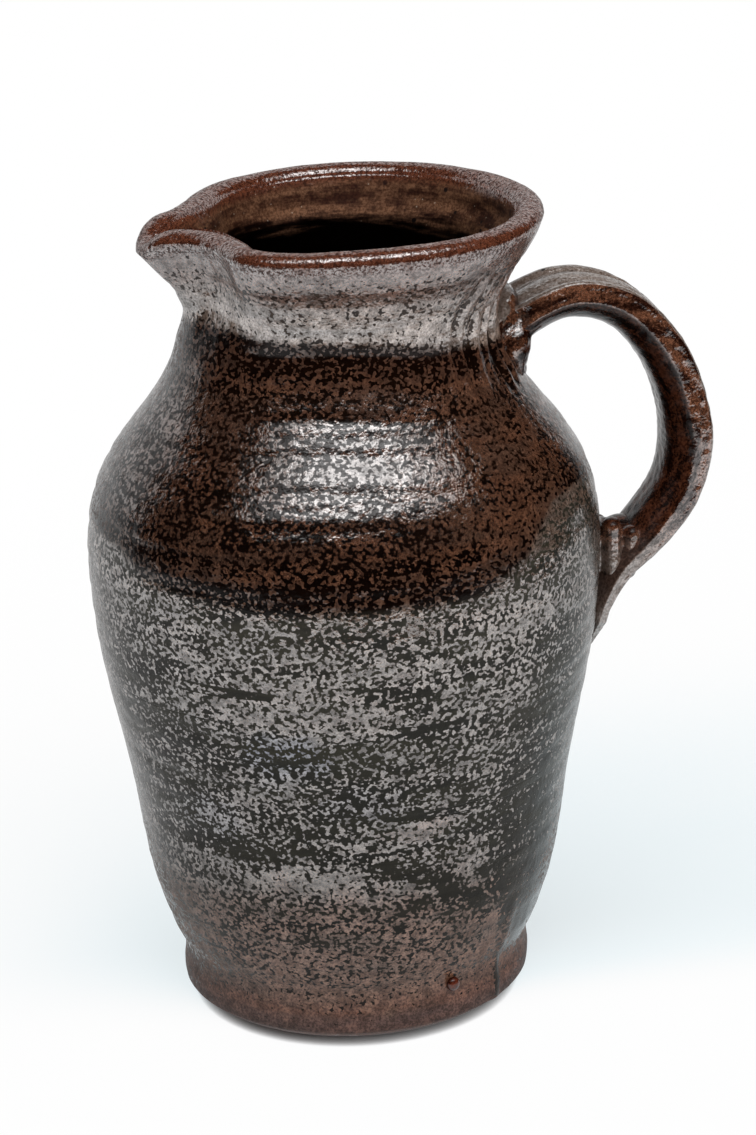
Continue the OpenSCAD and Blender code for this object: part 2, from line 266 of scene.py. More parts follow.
def relief(angle, z):
    # what the thrower's hands and the kiln leave on the outer face, in millimetres
    footFade, topFade = w["ridgeFades"]
    body = smoothStep((z - w["ridgeFoot"]) / footFade) * smoothStep((flareZ - w["ridgeTop"] - z) / topFade)
    phase = 2 * math.pi * (z / w["ridgePitch"] + angle / 360)
    phase = phase + w["ridgeDrift"] * wavesAt("ridgeDrift", angle, z)
    steady, uneven = w["ridgeForce"]
    force = steady + uneven * wavesAt("ridgeForce", angle, z)
    share, shift = w["ridgeSecond"]
    ridge = (np.sin(phase) + share * np.sin(2.0 * phase + shift)) * force * w["ridgeDepth"]
    ridge = ridge * (0.6 + 0.3 * smoothStep((z - w["ridgeStart"]) / 20))
    scored = np.zeros_like(body)
    for lineZ, depth, spread in w["scored"]:
        wander = ripples(angle, 0 * z, w["scoredGirth"], int(lineZ), *w["scoredWander"])
        drift = lineZ + w["scoredDrift"] * wander
        breaks = ripples(angle, 0 * z, w["scoredGirth"], int(lineZ) + 50, *w["scoredBreaks"])
        gate = smoothStep(0.5 + 1.2 * breaks)
        scored -= depth * gate * hoopAt(z, drift, spread)
    sag = w["sag"] * wavesAt("sag", angle, z)
    marks = w["peel"] * wavesAt("peel", angle, z)
    marks = marks + w["collarDepth"] * smoothStep((z - (flareZ - w["collarFoot"])) / w["collarEdge"])
    for middle, depth, spread in hoops:
        marks = marks - depth * hoopAt(z, middle, spread)
    off = (np.mod(angle - w["runAngle"] + w["runLean"] * (z - 15) + 180, 360) - 180) * 0.9
    fade = smoothStep((z - 3) / 3) * smoothStep((w["runTop"] - z) / w["runFade"])
    marks = marks + w["runDepth"] * hoopAt(off, 0, w["runWidth"]) * fade
    marks = marks + w["wipeDepth"] * wipedAt(angle, z)
    return body * (ridge + scored) + sag * smoothStep(z / 20) + marks


glazeMap = {
    # share of the surface that the crusted glaze covers, by height at the front
    "share": [(0, 0.97), (10, 0.95), (16, 0.86), (22, 0.70), (30, 0.61), (45, 0.52), (55, 0.49), (62, 0.42),
              (72, 0.37), (85, 0.30), (100, 0.32), (115, 0.42), (130, 0.48), (142, 0.54), (146, 0.34),
              (155, 0.38), (165, 0.42), (180, 0.46), (190, 0.52), (200, 0.52), (205, 0.36), (210, 0.36),
              (213.5, 0.86), (222, 0.80), (227, 0.70), (231, 0.90), (236, 0.97)],
    # places where it differs: angle, height, half width, half height, slope, share
    "places": [(244, 136, 21, 5.0, 0, 0.36), (246, 113, 24, 9, 0, 0.56), (270, 118, 12, 4, -0.3, 0.24),
               (282, 106, 12, 2.2, 0.1, 0.20), (300, 124, 13, 15, 0, 0.50), (258, 92, 22, 6, 0, 0.36),
               (203, 96, 19, 34, 0, 0.24), (230, 67.5, 36, 3.4, 0, 0.10), (269, 61, 14, 3.0, -0.3, 0.08),
               (286, 53, 13, 4.5, -0.6, 0.08), (312, 62, 17, 33, 0, 0.07), (317, 106, 18, 24, 0, 0.17),
               (246, 59, 19, 4.2, 0.05, 0.80), (277, 73, 10, 3.4, 0.06, 0.78), (302, 31, 3.6, 8, 0, 0.93),
               (322, 30, 13, 12, 0, 0.06), (312, 14, 1.6, 12, 0, 0.02), (302, 174, 30, 22, 0, 0.74),
               (232, 172, 22, 20, 0, 0.44), (150, 120, 40, 12, 0.1, 0.2), (95, 80, 45, 20, -0.2, 0.15),
               (40, 60, 30, 16, 0.1, 0.25), (120, 55, 40, 6, 0.1, 0.8), (60, 120, 40, 14, 0, 0.62)],
    # the lines between glazes sag and climb: middle height, reach, then angle and shift
    "bends": [(146, 36, [(0, -12), (180, -12), (200, -10), (210, -4), (228, -1.4), (240, 0), (290, 0),
                         (296, -3), (304, -8), (310, -18), (316, -30), (330, -34), (348, -16), (360, -12)]),
              (208, 24, [(0, 6), (40, 0), (215, -1.5), (256, -0.9), (288, 2.4), (297, 4.4), (311, 7),
                         (329, 11), (345, 12), (360, 6)])],
    # how much wiped streaks change the odds, where the tables end, how ragged a place's edge is, by what
    # waves, and the odds of crust off the outer face
    "wipeOdds": 3.4, "top": 240.0, "ragged": 0.26, "girth": 66, "edgeWaves": (4, 20, 22), "elsewhere": 3.0,
    # warm tan where above nought, bluish where below
    "tints": [(255, 34, 75, 20, 0, 1.0), (277, 73, 11, 3.5, 0.06, 0.8), (250, 116, 30, 10, 0, 0.35),
              (243, 99, 12, 9, 0, -0.9), (262, 84, 12, 6, 0, -0.4), (221, 76, 14, 7, 0, -0.5),
              (100, 40, 90, 24, 0, 0.9), (150, 95, 25, 12, 0, -0.5), (60, 90, 40, 15, 0, 0.5),
              (285, 58, 8, 10, 0, 0.3)],
}


def spotWeight(angle, z, spot, seed):
    # 1 inside a ragged leaning oval on the wall, 0 away from it
    off = (np.mod(angle - spot[0] + 180, 360) - 180) * 1.15
    rise = z - spot[1] - spot[4] * off
    ragged = glazeMap["ragged"] * ripples(angle, z, glazeMap["girth"], seed, *glazeMap["edgeWaves"])
    far = np.hypot(off / spot[2], rise / spot[3]) + ragged
    return smoothStep((1.25 - far) / 0.6)


def zoneAt(angle, z):
    # heights bent so that the glaze lines on shoulder and neck run level in it
    turn = np.mod(angle, 360)
    for middle, reach, rows in glazeMap["bends"]:
        z = z + np.interp(turn, *np.array(rows, float).T) * smoothStep(1 - abs(z - middle) / reach)
    return z


def coverAt(angle, z):
    share = curveThrough(glazeMap["share"])(zoneAt(angle, z))
    for i, spot in enumerate(glazeMap["places"]):
        weight = spotWeight(angle, z, spot, 60 + i)
        share = share + (spot[5] - share) * weight
    share = np.clip(share, 0.01, 0.99)
    return np.log(share / (1 - share)) + glazeMap["wipeOdds"] * wipedAt(angle, z)


def tintAt(angle, z):
    tint = 0 * angle * z
    for i, spot in enumerate(glazeMap["tints"]):
        tint = tint + (spot[5] - tint) * spotWeight(angle, z, spot, 160 + i)
    return tint


def buildThrownBody(material):
    n = w["columns"]
    angles = np.arange(n) * 360.0 / n
    low = np.linspace(0, w["bevel"], w["bevelRows"])
    high = np.arange(w["bevel"] + w["rowStep"], flareZ - 0.4, w["rowStep"])
    heights = np.concatenate([low, high, [flareZ]])
    zGrid, aGrid = np.meshgrid(heights, angles, indexing="ij")
    keep = smoothStep(zGrid / 3)
    outer = wallPoint(aGrid, zGrid, outlineAt(zGrid) - w["skinDepth"] + relief(aGrid, zGrid) * keep)

    def facing(rows, up):
        found = np.cross(np.roll(rows, -1, 1) - np.roll(rows, 1, 1), up)
        return found / np.linalg.norm(found, axis=-1, keepdims=True)

    smoothWall = wallPoint(aGrid, zGrid, outlineAt(zGrid))
    edgeNormal = facing(smoothWall, np.gradient(smoothWall, axis=0))[-1]
    edgeNormal[:, 2] = 0
    edgeNormal /= np.linalg.norm(edgeNormal, axis=1, keepdims=True)
    lipRows = []
    wave = wavesAt("lip", angles, 0 * angles)
    for step in range(1, w["lipSteps"]):
        turn = math.pi * step / w["lipSteps"]
        back = edgeNormal * w["lipWidth"] / 2 * (1 - math.cos(turn)) * (1 + w["lipWaver"] * wave[:, None])
        rise = (w["lipHeight"] - w["lipSink"] + w["lipRise"] * wave) * math.sin(turn) ** w["lipRound"]
        row = outer[-1] - back
        row[:, 2] += rise
        lipRows.append(row)
    # the inner face, one wall's thickness in, with the finger marks that show inside the mouth
    innerZ = np.concatenate([np.arange(flareZ - w["innerStep"], flareZ - w["innerReach"], -w["innerStep"]),
                             np.arange(flareZ - w["deepFrom"], w["deepTo"], -w["deepStep"])])
    zi, ai = np.meshgrid(innerZ, angles, indexing="ij")
    base = wallPoint(ai, zi, outlineAt(zi))
    higher = np.minimum(zi + w["slopeStep"], flareZ)
    lower = zi - w["slopeStep"]
    slope = wallPoint(ai, higher, outlineAt(higher)) - wallPoint(ai, lower, outlineAt(lower))
    blendFrom, blendFade = w["lipBlend"]
    thick = w["wall"] + (w["lipWidth"] - w["wall"]) * smoothStep((zi - (flareZ - blendFrom)) / blendFade)
    phase = 2 * math.pi * (zi / w["innerRidgePitch"] + ai / 360) + 1.2 * wavesAt("innerDrift", ai, zi)
    marks = w["innerRidgeDepth"] * np.sin(phase) * (0.6 + 0.6 * wavesAt("innerForce", ai, zi))
    marks += w["innerGrain"] * wavesAt("innerGrain", ai, zi)
    marks = marks * smoothStep((flareZ - 1 - zi) / 6)
    inner = base - facing(base, slope) * (thick + marks)[..., None]

    def ringsOf(radius, low, reach, shares):
        a = np.radians(angles)
        return [np.stack([radius * share * np.cos(a), radius * share * np.sin(a), low + reach * lift + 0 * a],
                         -1) for share, lift in shares]

    floorRows = ringsOf(w["footRadius"] - w["wall"], w["floor"], footZ - w["floor"], w["floorRings"])
    underRows = ringsOf(w["baseRadius"], 0, 1, w["underRings"])
    rows = underRows + list(outer) + lipRows + list(inner) + floorRows
    stack = np.array(rows)
    count = len(stack)
    middles = [[0, 0, w["underMiddle"]], [0, 0, w["floor"] + w["floorMiddle"]]]
    points = np.concatenate([stack.reshape(-1, 3), middles])
    i = np.arange(count - 1)[:, None] * n
    k = np.arange(n)
    nextK = (k + 1) % n
    quads = np.stack([i + k, i + nextK, i + n + nextK, i + n + k], -1).reshape(-1, 4)
    underFan = np.stack([nextK, k, np.full(n, count * n)], -1)
    top = (count - 1) * n
    floorFan = np.stack([top + k, top + nextK, np.full(n, count * n + 1)], -1)
    mesh = bpy.data.meshes.new("thrownBody")
    mesh.from_pydata((points * mm).tolist(), [], quads.tolist() + underFan.tolist() + floorFan.tolist())
    # how far a point is over the lip and into the mouth, for the glaze to read
    rising = smoothStep((heights - (flareZ - w["lipMark"])) / w["lipMark"])
    sinking = smoothStep((flareZ - innerZ) / w["mouthMark"])
    lipLevel = np.concatenate([np.zeros(len(underRows)), rising * 0.5, np.full(len(lipRows), 0.5),
                               0.5 + 0.5 * sinking, np.ones(len(floorRows))])
    levels = np.concatenate([np.repeat(lipLevel, n), [0, 1]])
    outside = slice(len(underRows) * n, (len(underRows) + len(heights)) * n)
    cover = np.full(len(levels), glazeMap["elsewhere"])
    cover[outside] = coverAt(aGrid, zGrid).ravel()
    tint = np.zeros(len(levels))
    tint[outside] = tintAt(aGrid, zGrid).ravel()
    zone = points[:, 2].copy()
    zone[outside] = zoneAt(aGrid, zGrid).ravel()
    markPoints(mesh, {"mouth": levels, "cover": cover, "tint": tint, "zone": zone / glazeMap["top"]})
    shadeSmooth(mesh)
    return addPiece("thrownBody", mesh, material, ["thrown_body"])


# node helpers
def nodeTree(name, sockets):
    tree = bpy.data.node_groups.new(name, "GeometryNodeTree")
    for label, kind in sockets.items():
        tree.interface.new_socket(label, in_out="INPUT", socket_type="NodeSocket" + kind)
    tree.interface.new_socket("Geometry", in_out="OUTPUT", socket_type="NodeSocketGeometry")
    start = tree.nodes.new("NodeGroupInput")
    end = tree.nodes.new("NodeGroupOutput")
    end.is_active_output = True
    return tree, start, end


def addNode(tree, kind, links=None, **settings):
    node = tree.nodes.new(kind)
    for key, value in settings.items():
        setattr(node, key, value)
    for key, value in (links or {}).items():
        socket = node.inputs[key]
        if isinstance(value, bpy.types.NodeSocket):
            tree.links.new(value, socket)
        else:
            socket.default_value = value
    return node


def calc(tree, operation, *values, clamp=False):
    node = addNode(tree, "ShaderNodeMath", dict(enumerate(values)), operation=operation, use_clamp=clamp)
    return node.outputs[0]


def product(tree, first, *others):
    for other in others:
        first = calc(tree, "MULTIPLY", first, other)
    return first


def weighed(tree, total, *rows):
    for value, weight in rows:
        total = calc(tree, "MULTIPLY_ADD", value, weight, total)
    return total


def restOf(tree, share):
    return calc(tree, "SUBTRACT", 1.0, share)


def calcVector(tree, operation, first, second):
    return addNode(tree, "ShaderNodeVectorMath", {0: first, 1: second}, operation=operation).outputs[0]


def bakeNodes(host, tree, values):
    # runs the tree on the host and hands back the result as a plain mesh
    modifier = host.modifiers.new(tree.name, "NODES")
    modifier.node_group = tree
    for item in tree.interface.items_tree:
        if item.item_type == "SOCKET" and item.in_out == "INPUT" and item.name in values:
            modifier[item.identifier] = values[item.name]
    graph = bpy.context.evaluated_depsgraph_get()
    mesh = bpy.data.meshes.new_from_object(host.evaluated_get(graph))
    host.modifiers.remove(modifier)
    return mesh


def guideLine(name, points, marks):
    # a polyline that a tree reads, with one value a point for each mark
    mesh = bpy.data.meshes.new(name)
    mesh.from_pydata([tuple(p) for p in points], [(i, i + 1) for i in range(len(points) - 1)], [])
    markPoints(mesh, marks)
    line = bpy.data.objects.new(name, mesh)
    scene.collection.objects.link(line)
    return line


# the pulled strap
strapHandle = {
    "width": 25.0, "thickness": 13.5, "reach": 31.0, "rise": 3.0, "tailDrop": 42.0,
    "stepsAlong": 330, "stepsAround": 150, "samples": 400, "sectionSamples": 240, "merge": 0.01,
    "taper": 13.0, "taperPower": 0.7, "tailWidth": 0.25, "rootRound": 1.0,
    # the sides' sway: reach, turns and shift
    "sway": 0.5, "swayTurns": 2.3, "swayShift": 0.6,
    # fine waves on the skin: depth, then girth, seed, shortest, longest and count; and their slant
    "waver": (0.17, (30, 21, 12, 36, 30)), "grain": (0.07, (30, 22, 2.2, 6, 60)), "slant": 0.8,
    # the loop's middle, for the ripples and for the glaze's flow, and the flow's mean radius
    "middle": (80, 165), "flowMiddle": (78, 165), "flowRadius": 35.0,
    # the torn tail: where it starts, its fade, slant and waves
    "tornFrom": 104.0, "tornFade": 9.0, "tornSlant": 0.16, "tornWaves": 0.9,
    # where the glaze counts as outer and as inner, and the height below which the tail counts as outer; the
    # handle's glaze adds painted reflection to the grey of outer faces and the tail, and painted shade to
    # inner faces
    "outerFrom": 0.35, "innerFrom": 0.05, "facingFade": 0.4, "tailReflectionBelow": 119.0, "tailReflectionFade": 8.0,
    # half of the section: depth (in minus, out plus) and side, as shares of thickness and width
    "section": [(-0.50, 0), (-0.497, 0.11), (-0.46, 0.225), (-0.38, 0.315), (-0.27, 0.39), (-0.14, 0.455),
                (-0.03, 0.493), (0.04, 0.50), (0.12, 0.49), (0.20, 0.476), (0.29, 0.468), (0.37, 0.466),
                (0.45, 0.450), (0.49, 0.400), (0.46, 0.345), (0.395, 0.29), (0.38, 0.235), (0.42, 0.17),
                (0.475, 0.09), (0.50, 0)],
    # share of the way out and of the height, then shares of thickness and width
    "riseRows": [(0, 0.85, 1.22, 1.20), (0.19, 0.938, 0.90, 1.08), (0.42, 0.984, 0.90, 0.98),
                 (0.645, 0.953, 0.93, 0.95), (0.820, 0.860, 0.96, 0.95), (0.931, 0.737, 0.98, 0.97),
                 (0.978, 0.59, 0.97, 1)],
    "fallRows": [(0.876, 0.46, 0.92, 1), (0.624, 0.351, 0.82, 1.03), (0.317, 0.259, 0.64, 1.08),
                 (0.150, 0.173, 0.48, 1.10), (0.071, 0.089, 0.42, 1.00), (0.040, 0, 0.36, 0.72)],
}


def strapRows(s):
    rootX = w["neckRadius"] - w["wall"] / 2
    loopX = w["bellyRadius"] + s["reach"]
    tailZ = bellyZ - s["tailDrop"]
    tailX = float(swayAt(tailZ) + outlineAt(tailZ))
    top = neckZ + s["rise"]
    rows = [(rootX + a * (loopX - rootX), tailZ + b * (top - tailZ), t, v) for a, b, t, v in s["riseRows"]]
    rows += [(tailX + a * (loopX - tailX), tailZ + b * (top - tailZ), t, v) for a, b, t, v in s["fallRows"]]
    return rows


def sweepTree():
    tree, start, end = nodeTree("sweepStrap", {
        "Path": "Object", "Section": "Object", "Steps Along": "Int", "Steps Around": "Int",
        "Thickness": "Float", "Width": "Float", "Merge Distance": "Float", "Material": "Material"})
    given = start.outputs
    lines = []
    for label in ("Path", "Section"):
        info = addNode(tree, "GeometryNodeObjectInfo", {"Object": given[label]})
        line = addNode(tree, "GeometryNodeMeshToCurve", {"Mesh": info.outputs["Geometry"]})
        lines.append(line.outputs["Curve"])
    grid = addNode(tree, "GeometryNodeMeshGrid", {
        "Size X": 1.0, "Size Y": 1.0, "Vertices X": given["Steps Along"],
        "Vertices Y": given["Steps Around"]})
    apart = addNode(tree, "ShaderNodeSeparateXYZ", {0: addNode(tree, "GeometryNodeInputPosition").outputs[0]})
    along = calc(tree, "ADD", apart.outputs[0], 0.5)
    around = calc(tree, "ADD", apart.outputs[1], 0.5)
    reads = {}
    for label in ("thick", "wide"):
        mark = addNode(tree, "GeometryNodeInputNamedAttribute", {"Name": label}, data_type="FLOAT")
        reads[label] = addNode(tree, "GeometryNodeSampleCurve", {
            "Curves": lines[0], "Value": mark.outputs[0], "Factor": along},
            data_type="FLOAT", mode="FACTOR", use_all_curves=True).outputs
    ring = addNode(tree, "GeometryNodeSampleCurve", {"Curves": lines[1], "Factor": around},
                   data_type="FLOAT", mode="FACTOR", use_all_curves=True)
    shape = addNode(tree, "ShaderNodeSeparateXYZ", {0: ring.outputs["Position"]})
    outward = calcVector(tree, "CROSS_PRODUCT", reads["thick"]["Tangent"], (0, 1, 0))
    depth = product(tree, shape.outputs[0], given["Thickness"], reads["thick"][0])
    side = product(tree, shape.outputs[1], given["Width"], reads["wide"][0])
    push = addNode(tree, "ShaderNodeVectorMath", {0: outward, 3: depth}, operation="SCALE")
    shift = addNode(tree, "ShaderNodeCombineXYZ", {1: side})
    spot = calcVector(tree, "ADD", reads["thick"]["Position"], push.outputs[0])
    spot = calcVector(tree, "ADD", spot, shift.outputs[0])
    placed = addNode(tree, "GeometryNodeSetPosition", {"Geometry": grid.outputs["Mesh"], "Position": spot})
    closed = addNode(tree, "GeometryNodeMergeByDistance", {
        "Geometry": placed.outputs[0], "Distance": given["Merge Distance"]})
    turned = addNode(tree, "GeometryNodeFlipFaces", {"Mesh": closed.outputs[0]})
    real = addNode(tree, "GeometryNodeRealizeInstances", {"Geometry": turned.outputs[0]})
    dressed = addNode(tree, "GeometryNodeSetMaterial", {
        "Geometry": real.outputs[0], "Material": given["Material"]})
    tree.links.new(dressed.outputs[0], end.inputs[0])
    return tree


def fineLine(rows, samples):
    # evenly spaced points and marks on the smooth line through the rows
    rows = np.array(rows, float)
    keys = np.arange(len(rows))
    dense = np.linspace(0, len(rows) - 1, 4000)
    values = [curveThrough(list(zip(keys, rows[:, c])))(dense) for c in range(rows.shape[1])]
    run = np.concatenate([[0], np.cumsum(np.hypot(np.diff(values[0]), np.diff(values[1])))])
    even = np.linspace(0, run[-1], samples)
    return [np.interp(even, run, v) for v in values]


def buildStrap(material):
    s = strapHandle
    x, z, thick, wide = fineLine(strapRows(s), s["samples"])
    run = np.concatenate([[0], np.cumsum(np.hypot(np.diff(x), np.diff(z)))])
    left = run[-1] - run
    rounded = np.clip(left / s["taper"], 0, 1) ** s["taperPower"]
    startRound = np.sqrt(np.clip(1 - (1 - np.clip(run / s["rootRound"], 0, 1)) ** 2, 0, 1))
    narrowed = s["tailWidth"] + (1 - s["tailWidth"]) * rounded
    path = guideLine("strapPath", np.stack([x * mm, 0 * x, z * mm], -1), {
        "thick": thick * rounded * startRound, "wide": wide * narrowed * startRound})
    half = s["section"]
    loop = half + [(a, -b) for a, b in half[-2:0:-1]]
    dense = fineLine(loop + [loop[0]], s["sectionSamples"])
    section = guideLine("strapSection", np.stack([dense[0], dense[1], 0 * dense[0]], -1), {})
    host = guideLine("strapHost", [(0, 0, 0), (0, 0, 0.001)], {})
    mesh = bakeNodes(host, sweepTree(), {
        "Path": path, "Section": section, "Steps Along": s["stepsAlong"], "Steps Around": s["stepsAround"],
        "Thickness": s["thickness"] * mm, "Width": s["width"] * mm, "Merge Distance": s["merge"] * mm,
        "Material": material})
    for helper in (path, section, host):
        bpy.data.objects.remove(helper)
    mesh.name = "handleStrap"
    co, nor = readPoints(mesh)
    middleX, middleZ = s["middle"]
    turn = np.degrees(np.arctan2(co[:, 2] - middleZ, co[:, 0] - middleX))
    across = co[:, 1] + s["slant"] * np.hypot(co[:, 2] - middleZ, co[:, 0] - middleX)
    for depth, wave in (s["waver"], s["grain"]):
        co += nor * (depth * ripples(turn, across, *wave))[:, None]
    # the hand's drag: the strap's sides wander a little
    co[:, 1] += s["sway"] * np.sin(np.radians(turn) * s["swayTurns"] + s["swayShift"])
    # the thumb's pocket beside the root, on the near side
    co += thumbPocket(co)
    # the torn, slanting tail
    low = smoothStep((s["tornFrom"] - co[:, 2]) / s["tornFade"])
    co[:, 2] += low * (s["tornSlant"] * (co[:, 1] + 4) + 0.5 * np.sin(co[:, 1] * s["tornWaves"]))
    return addClay("handleStrap", "handle_strap", mesh, co, nor, material)


# the clay of the joins
thumb = {"place": (51.8, -14.5, 205.0), "reach": (4.0, 5.5, 5.0), "push": (0.6, 3.2, 0)}


def thumbPocket(co):
    near = np.exp(-(np.linalg.norm((co - np.array(thumb["place"])) / thumb["reach"], axis=1)) ** 2)
    return near[:, None] * np.array(thumb["push"])


def addFlow(mesh, co, nor):
    # how far along, across and out from the pull a point lies, and how much it faces out or in
    s = strapHandle
    x = co[:, 0] - s["flowMiddle"][0]
    z = co[:, 2] - s["flowMiddle"][1]
    far = np.hypot(x, z)
    flow = np.stack([np.arctan2(z, x) * s["flowRadius"], co[:, 1], far], -1) * mm
    kept = mesh.attributes.new("flow", "FLOAT_VECTOR", "POINT").data
    kept.foreach_set("vector", flow.astype(np.float32).ravel())
    facing = (nor[:, 0] * x + nor[:, 2] * z) / far
    outer = smoothStep((facing - s["outerFrom"]) / s["facingFade"])
    # the tail's lower part counts as outer, for the painted reflection on it
    outer = np.maximum(outer, smoothStep((s["tailReflectionBelow"] - co[:, 2]) / s["tailReflectionFade"]))
    inner = smoothStep((-facing - s["innerFrom"]) / s["facingFade"])
    markPoints(mesh, {"outer": outer, "inner": inner})


def addClay(name, node, mesh, co, nor, material):
    writePoints(mesh, co)
    addFlow(mesh, co, nor)
    shadeSmooth(mesh)
    return addPiece(name, mesh, material, [node])


def keepSkin(mesh):
    # closed pockets inside the clay go, and the one outer skin stays
    skin = bmesh.new()
    skin.from_mesh(mesh)
    left = set(skin.verts)
    shells = []
    while left:
        shell = [left.pop()]
        for vert in shell:
            for edge in vert.link_edges:
                other = edge.other_vert(vert)
                if other in left:
                    left.remove(other)
                    shell.append(other)
        shells.append(shell)
    shells.sort(key=len)
    inner = [vert for shell in shells[:-1] for vert in shell]
    bmesh.ops.delete(skin, geom=inner, context="VERTS")
    skin.to_mesh(mesh)
    skin.free()


clay = {"segments": 28, "rings": 16, "relax": 0.6, "axis": 40.0, "girth": 20, "waves": (2.5, 8, 40)}


def clayLump(name, s):
    # soft clay pressed together: stretched balls run into one skin
    parts = []
    for centre, size, tilt in s["balls"]:
        bpy.ops.mesh.primitive_uv_sphere_add(segments=clay["segments"], ring_count=clay["rings"], radius=1.0)
        ball = bpy.context.object
        turned = Matrix.Rotation(math.radians(tilt), 4, "Y")
        scaled = Matrix.Diagonal((*[v * mm for v in size], 1))
        ball.data.transform(Matrix.Translation([v * mm for v in centre]) @ turned @ scaled)
        parts.append(ball)
    bpy.ops.object.select_all(action="DESELECT")
    for ball in parts:
        ball.select_set(True)
    bpy.context.view_layer.objects.active = parts[0]
    bpy.ops.object.join()
    lump = bpy.context.object
    remesh = lump.modifiers.new("run", "REMESH")
    remesh.mode = "VOXEL"
    remesh.voxel_size = s["voxel"] * mm
    relax = lump.modifiers.new("relax", "SMOOTH")
    relax.iterations = s["smoothing"]
    relax.factor = clay["relax"]
    graph = bpy.context.evaluated_depsgraph_get()
    mesh = bpy.data.meshes.new_from_object(lump.evaluated_get(graph))
    bpy.data.objects.remove(lump)
    keepSkin(mesh)
    mesh.name = name
    co, nor = readPoints(mesh)
    turn = np.degrees(np.arctan2(co[:, 1], co[:, 0] - clay["axis"]))
    wave = ripples(turn, co[:, 2], clay["girth"], s["seed"], *clay["waves"])
    co += nor * (s["grain"] * wave)[:, None]
    return mesh, co, nor


upperJoin = {
    "balls": [((51.0, 0, 198), (6.0, 14.5, 12), -6), ((51.5, -9, 199), (5.4, 6.5, 10.5), -6),
              ((51.5, 9, 199), (5.4, 6.5, 10.5), -6), ((50.5, 0, 207), (5.0, 12, 6.5), 10),
              ((52.5, -1, 190), (4.2, 8.0, 6.5), -30), ((56.0, -9.5, 202), (3.4, 3.2, 2.6), 20),
              ((58.5, -8.5, 203), (3.0, 3.4, 2.2), 30), ((52.3, -12.0, 194), (2.2, 2.6, 6.5), -8)],
    "voxel": 0.7, "smoothing": 6, "grain": 0.16, "seed": 31,
}
lowerJoin = {
    "balls": [((79, 0, 129), (8, 8.8, 9.5), 0), ((77.0, 0, 119), (5.5, 9.2, 8), 0),
              ((84, 0, 133), (7, 8.0, 5.2), -30), ((76.5, 0, 134), (3.4, 8.6, 6.5), 0)],
    # rolls down each side: place, side, size, lean and top, then what they share
    "rolls": [(80.4, -1, 3.0, 0, 138.5), (80.4, 1, 3.0, 0, 134), (85.8, -1, 2.7, 0.14, 135.5),
              (85.8, 1, 2.7, 0.14, 132)],
    "rollSide": 8.8, "rollMiddle": 132.0, "rollFoot": 125.0, "rollBalls": 12, "rollSize": (3.2, 3.0),
    # grooves wiped down each side, before and behind the first roll
    "grooves": (77.4, 83.5), "grooveSide": 11.0, "grooveWidth": 1.0, "grooveReach": 3.4, "grooveDepth": 1.3,
    "voxel": 0.6, "smoothing": 4, "grain": 0.10, "seed": 32,
}


def buildUpperJoin(material):
    mesh, co, nor = clayLump("upperJoin", upperJoin)
    co += thumbPocket(co)
    return addClay("upperJoinWad", "upper_join_wad", mesh, co, nor, material)


def buildLowerJoin(material):
    s = lowerJoin
    rolls = [((x + lean * (z - s["rollMiddle"]), side * s["rollSide"], z), (size, *s["rollSize"]), 0)
             for x, side, size, lean, top in s["rolls"]
             for z in np.linspace(s["rollFoot"], top, s["rollBalls"])]
    mesh, co, nor = clayLump("lowerJoin", {**s, "balls": s["balls"] + rolls})
    for side in (-1, 1):
        for groove in s["grooves"]:
            off = np.hypot((co[:, 0] - groove) / s["grooveWidth"],
                           (co[:, 1] - side * s["grooveSide"]) / s["grooveReach"])
            co[:, 1] -= side * s["grooveDepth"] * np.exp(-off**2)
    return addClay("lowerJoinWad", "lower_join_wad", mesh, co, nor, material)


# the bead of melted iron
ironBead = {"angle": 292.0, "radius": 2.2, "squash": (0.82, 0.96, 1.0), "segments": 40, "rings": 24}


def buildBead(material):
    s = ironBead
    z = footZ + s["radius"] / 2
    spot = wallPoint(np.array(s["angle"]), np.array(z), outlineAt(z))
    bpy.ops.mesh.primitive_uv_sphere_add(segments=s["segments"], ring_count=s["rings"],
                                         radius=s["radius"] * mm)
    bead = bpy.context.object
    mesh = bead.data.copy()
    mesh.name = "ironBead"
    bpy.data.objects.remove(bead)
    flatten = Matrix.Rotation(math.radians(s["angle"]), 4, "Z") @ Matrix.Diagonal((*s["squash"], 1))
    mesh.transform(Matrix.Translation(Vector(spot) * mm) @ flatten)
    shadeSmooth(mesh)
    return addPiece("ironBead", mesh, material, ["iron_bead"])


# shader groups
def shaderGroup(name, numbers, results):
    # a group that reads a place and some numbers, and puts out numbers
    tree = bpy.data.node_groups.new(name, "ShaderNodeTree")
    tree.interface.new_socket("Vector", in_out="INPUT", socket_type="NodeSocketVector")
    for label, value in numbers.items():
        socket = tree.interface.new_socket(label, in_out="INPUT", socket_type="NodeSocketFloat")
        socket.default_value = value
    for label in results:
        tree.interface.new_socket(label, in_out="OUTPUT", socket_type="NodeSocketFloat")
    return tree, tree.nodes.new("NodeGroupInput").outputs, tree.nodes.new("NodeGroupOutput").inputs


def ease(tree, value, low, high):
    node = addNode(tree, "ShaderNodeMapRange", {0: value, 1: low, 2: high}, interpolation_type="SMOOTHSTEP")
    return node.outputs[0]


def noiseAt(tree, vector, scale, detail=2.0, rough=0.5, twist=0.0):
    return addNode(tree, "ShaderNodeTexNoise", {
        "Vector": vector, "Scale": scale, "Detail": detail, "Roughness": rough,
        "Distortion": twist}).outputs[0]


def times(tree, value, factors):
    # a place stretched, or a colour tinted
    return calcVector(tree, "MULTIPLY", value, factors)


def blendColour(tree, share, first, second):
    node = addNode(tree, "ShaderNodeMix", {"Factor": share}, data_type="RGBA")
    for index, value in ((6, first), (7, second)):
        if isinstance(value, bpy.types.NodeSocket):
            tree.links.new(value, node.inputs[index])
        else:
            node.inputs[index].default_value = (*value, 1)
    return node.outputs[2]


def centred(tree, value):
    return calc(tree, "SUBTRACT", value, 0.5)


def awayFrom(tree, value, middle):
    return calc(tree, "ABSOLUTE", calc(tree, "SUBTRACT", value, middle))


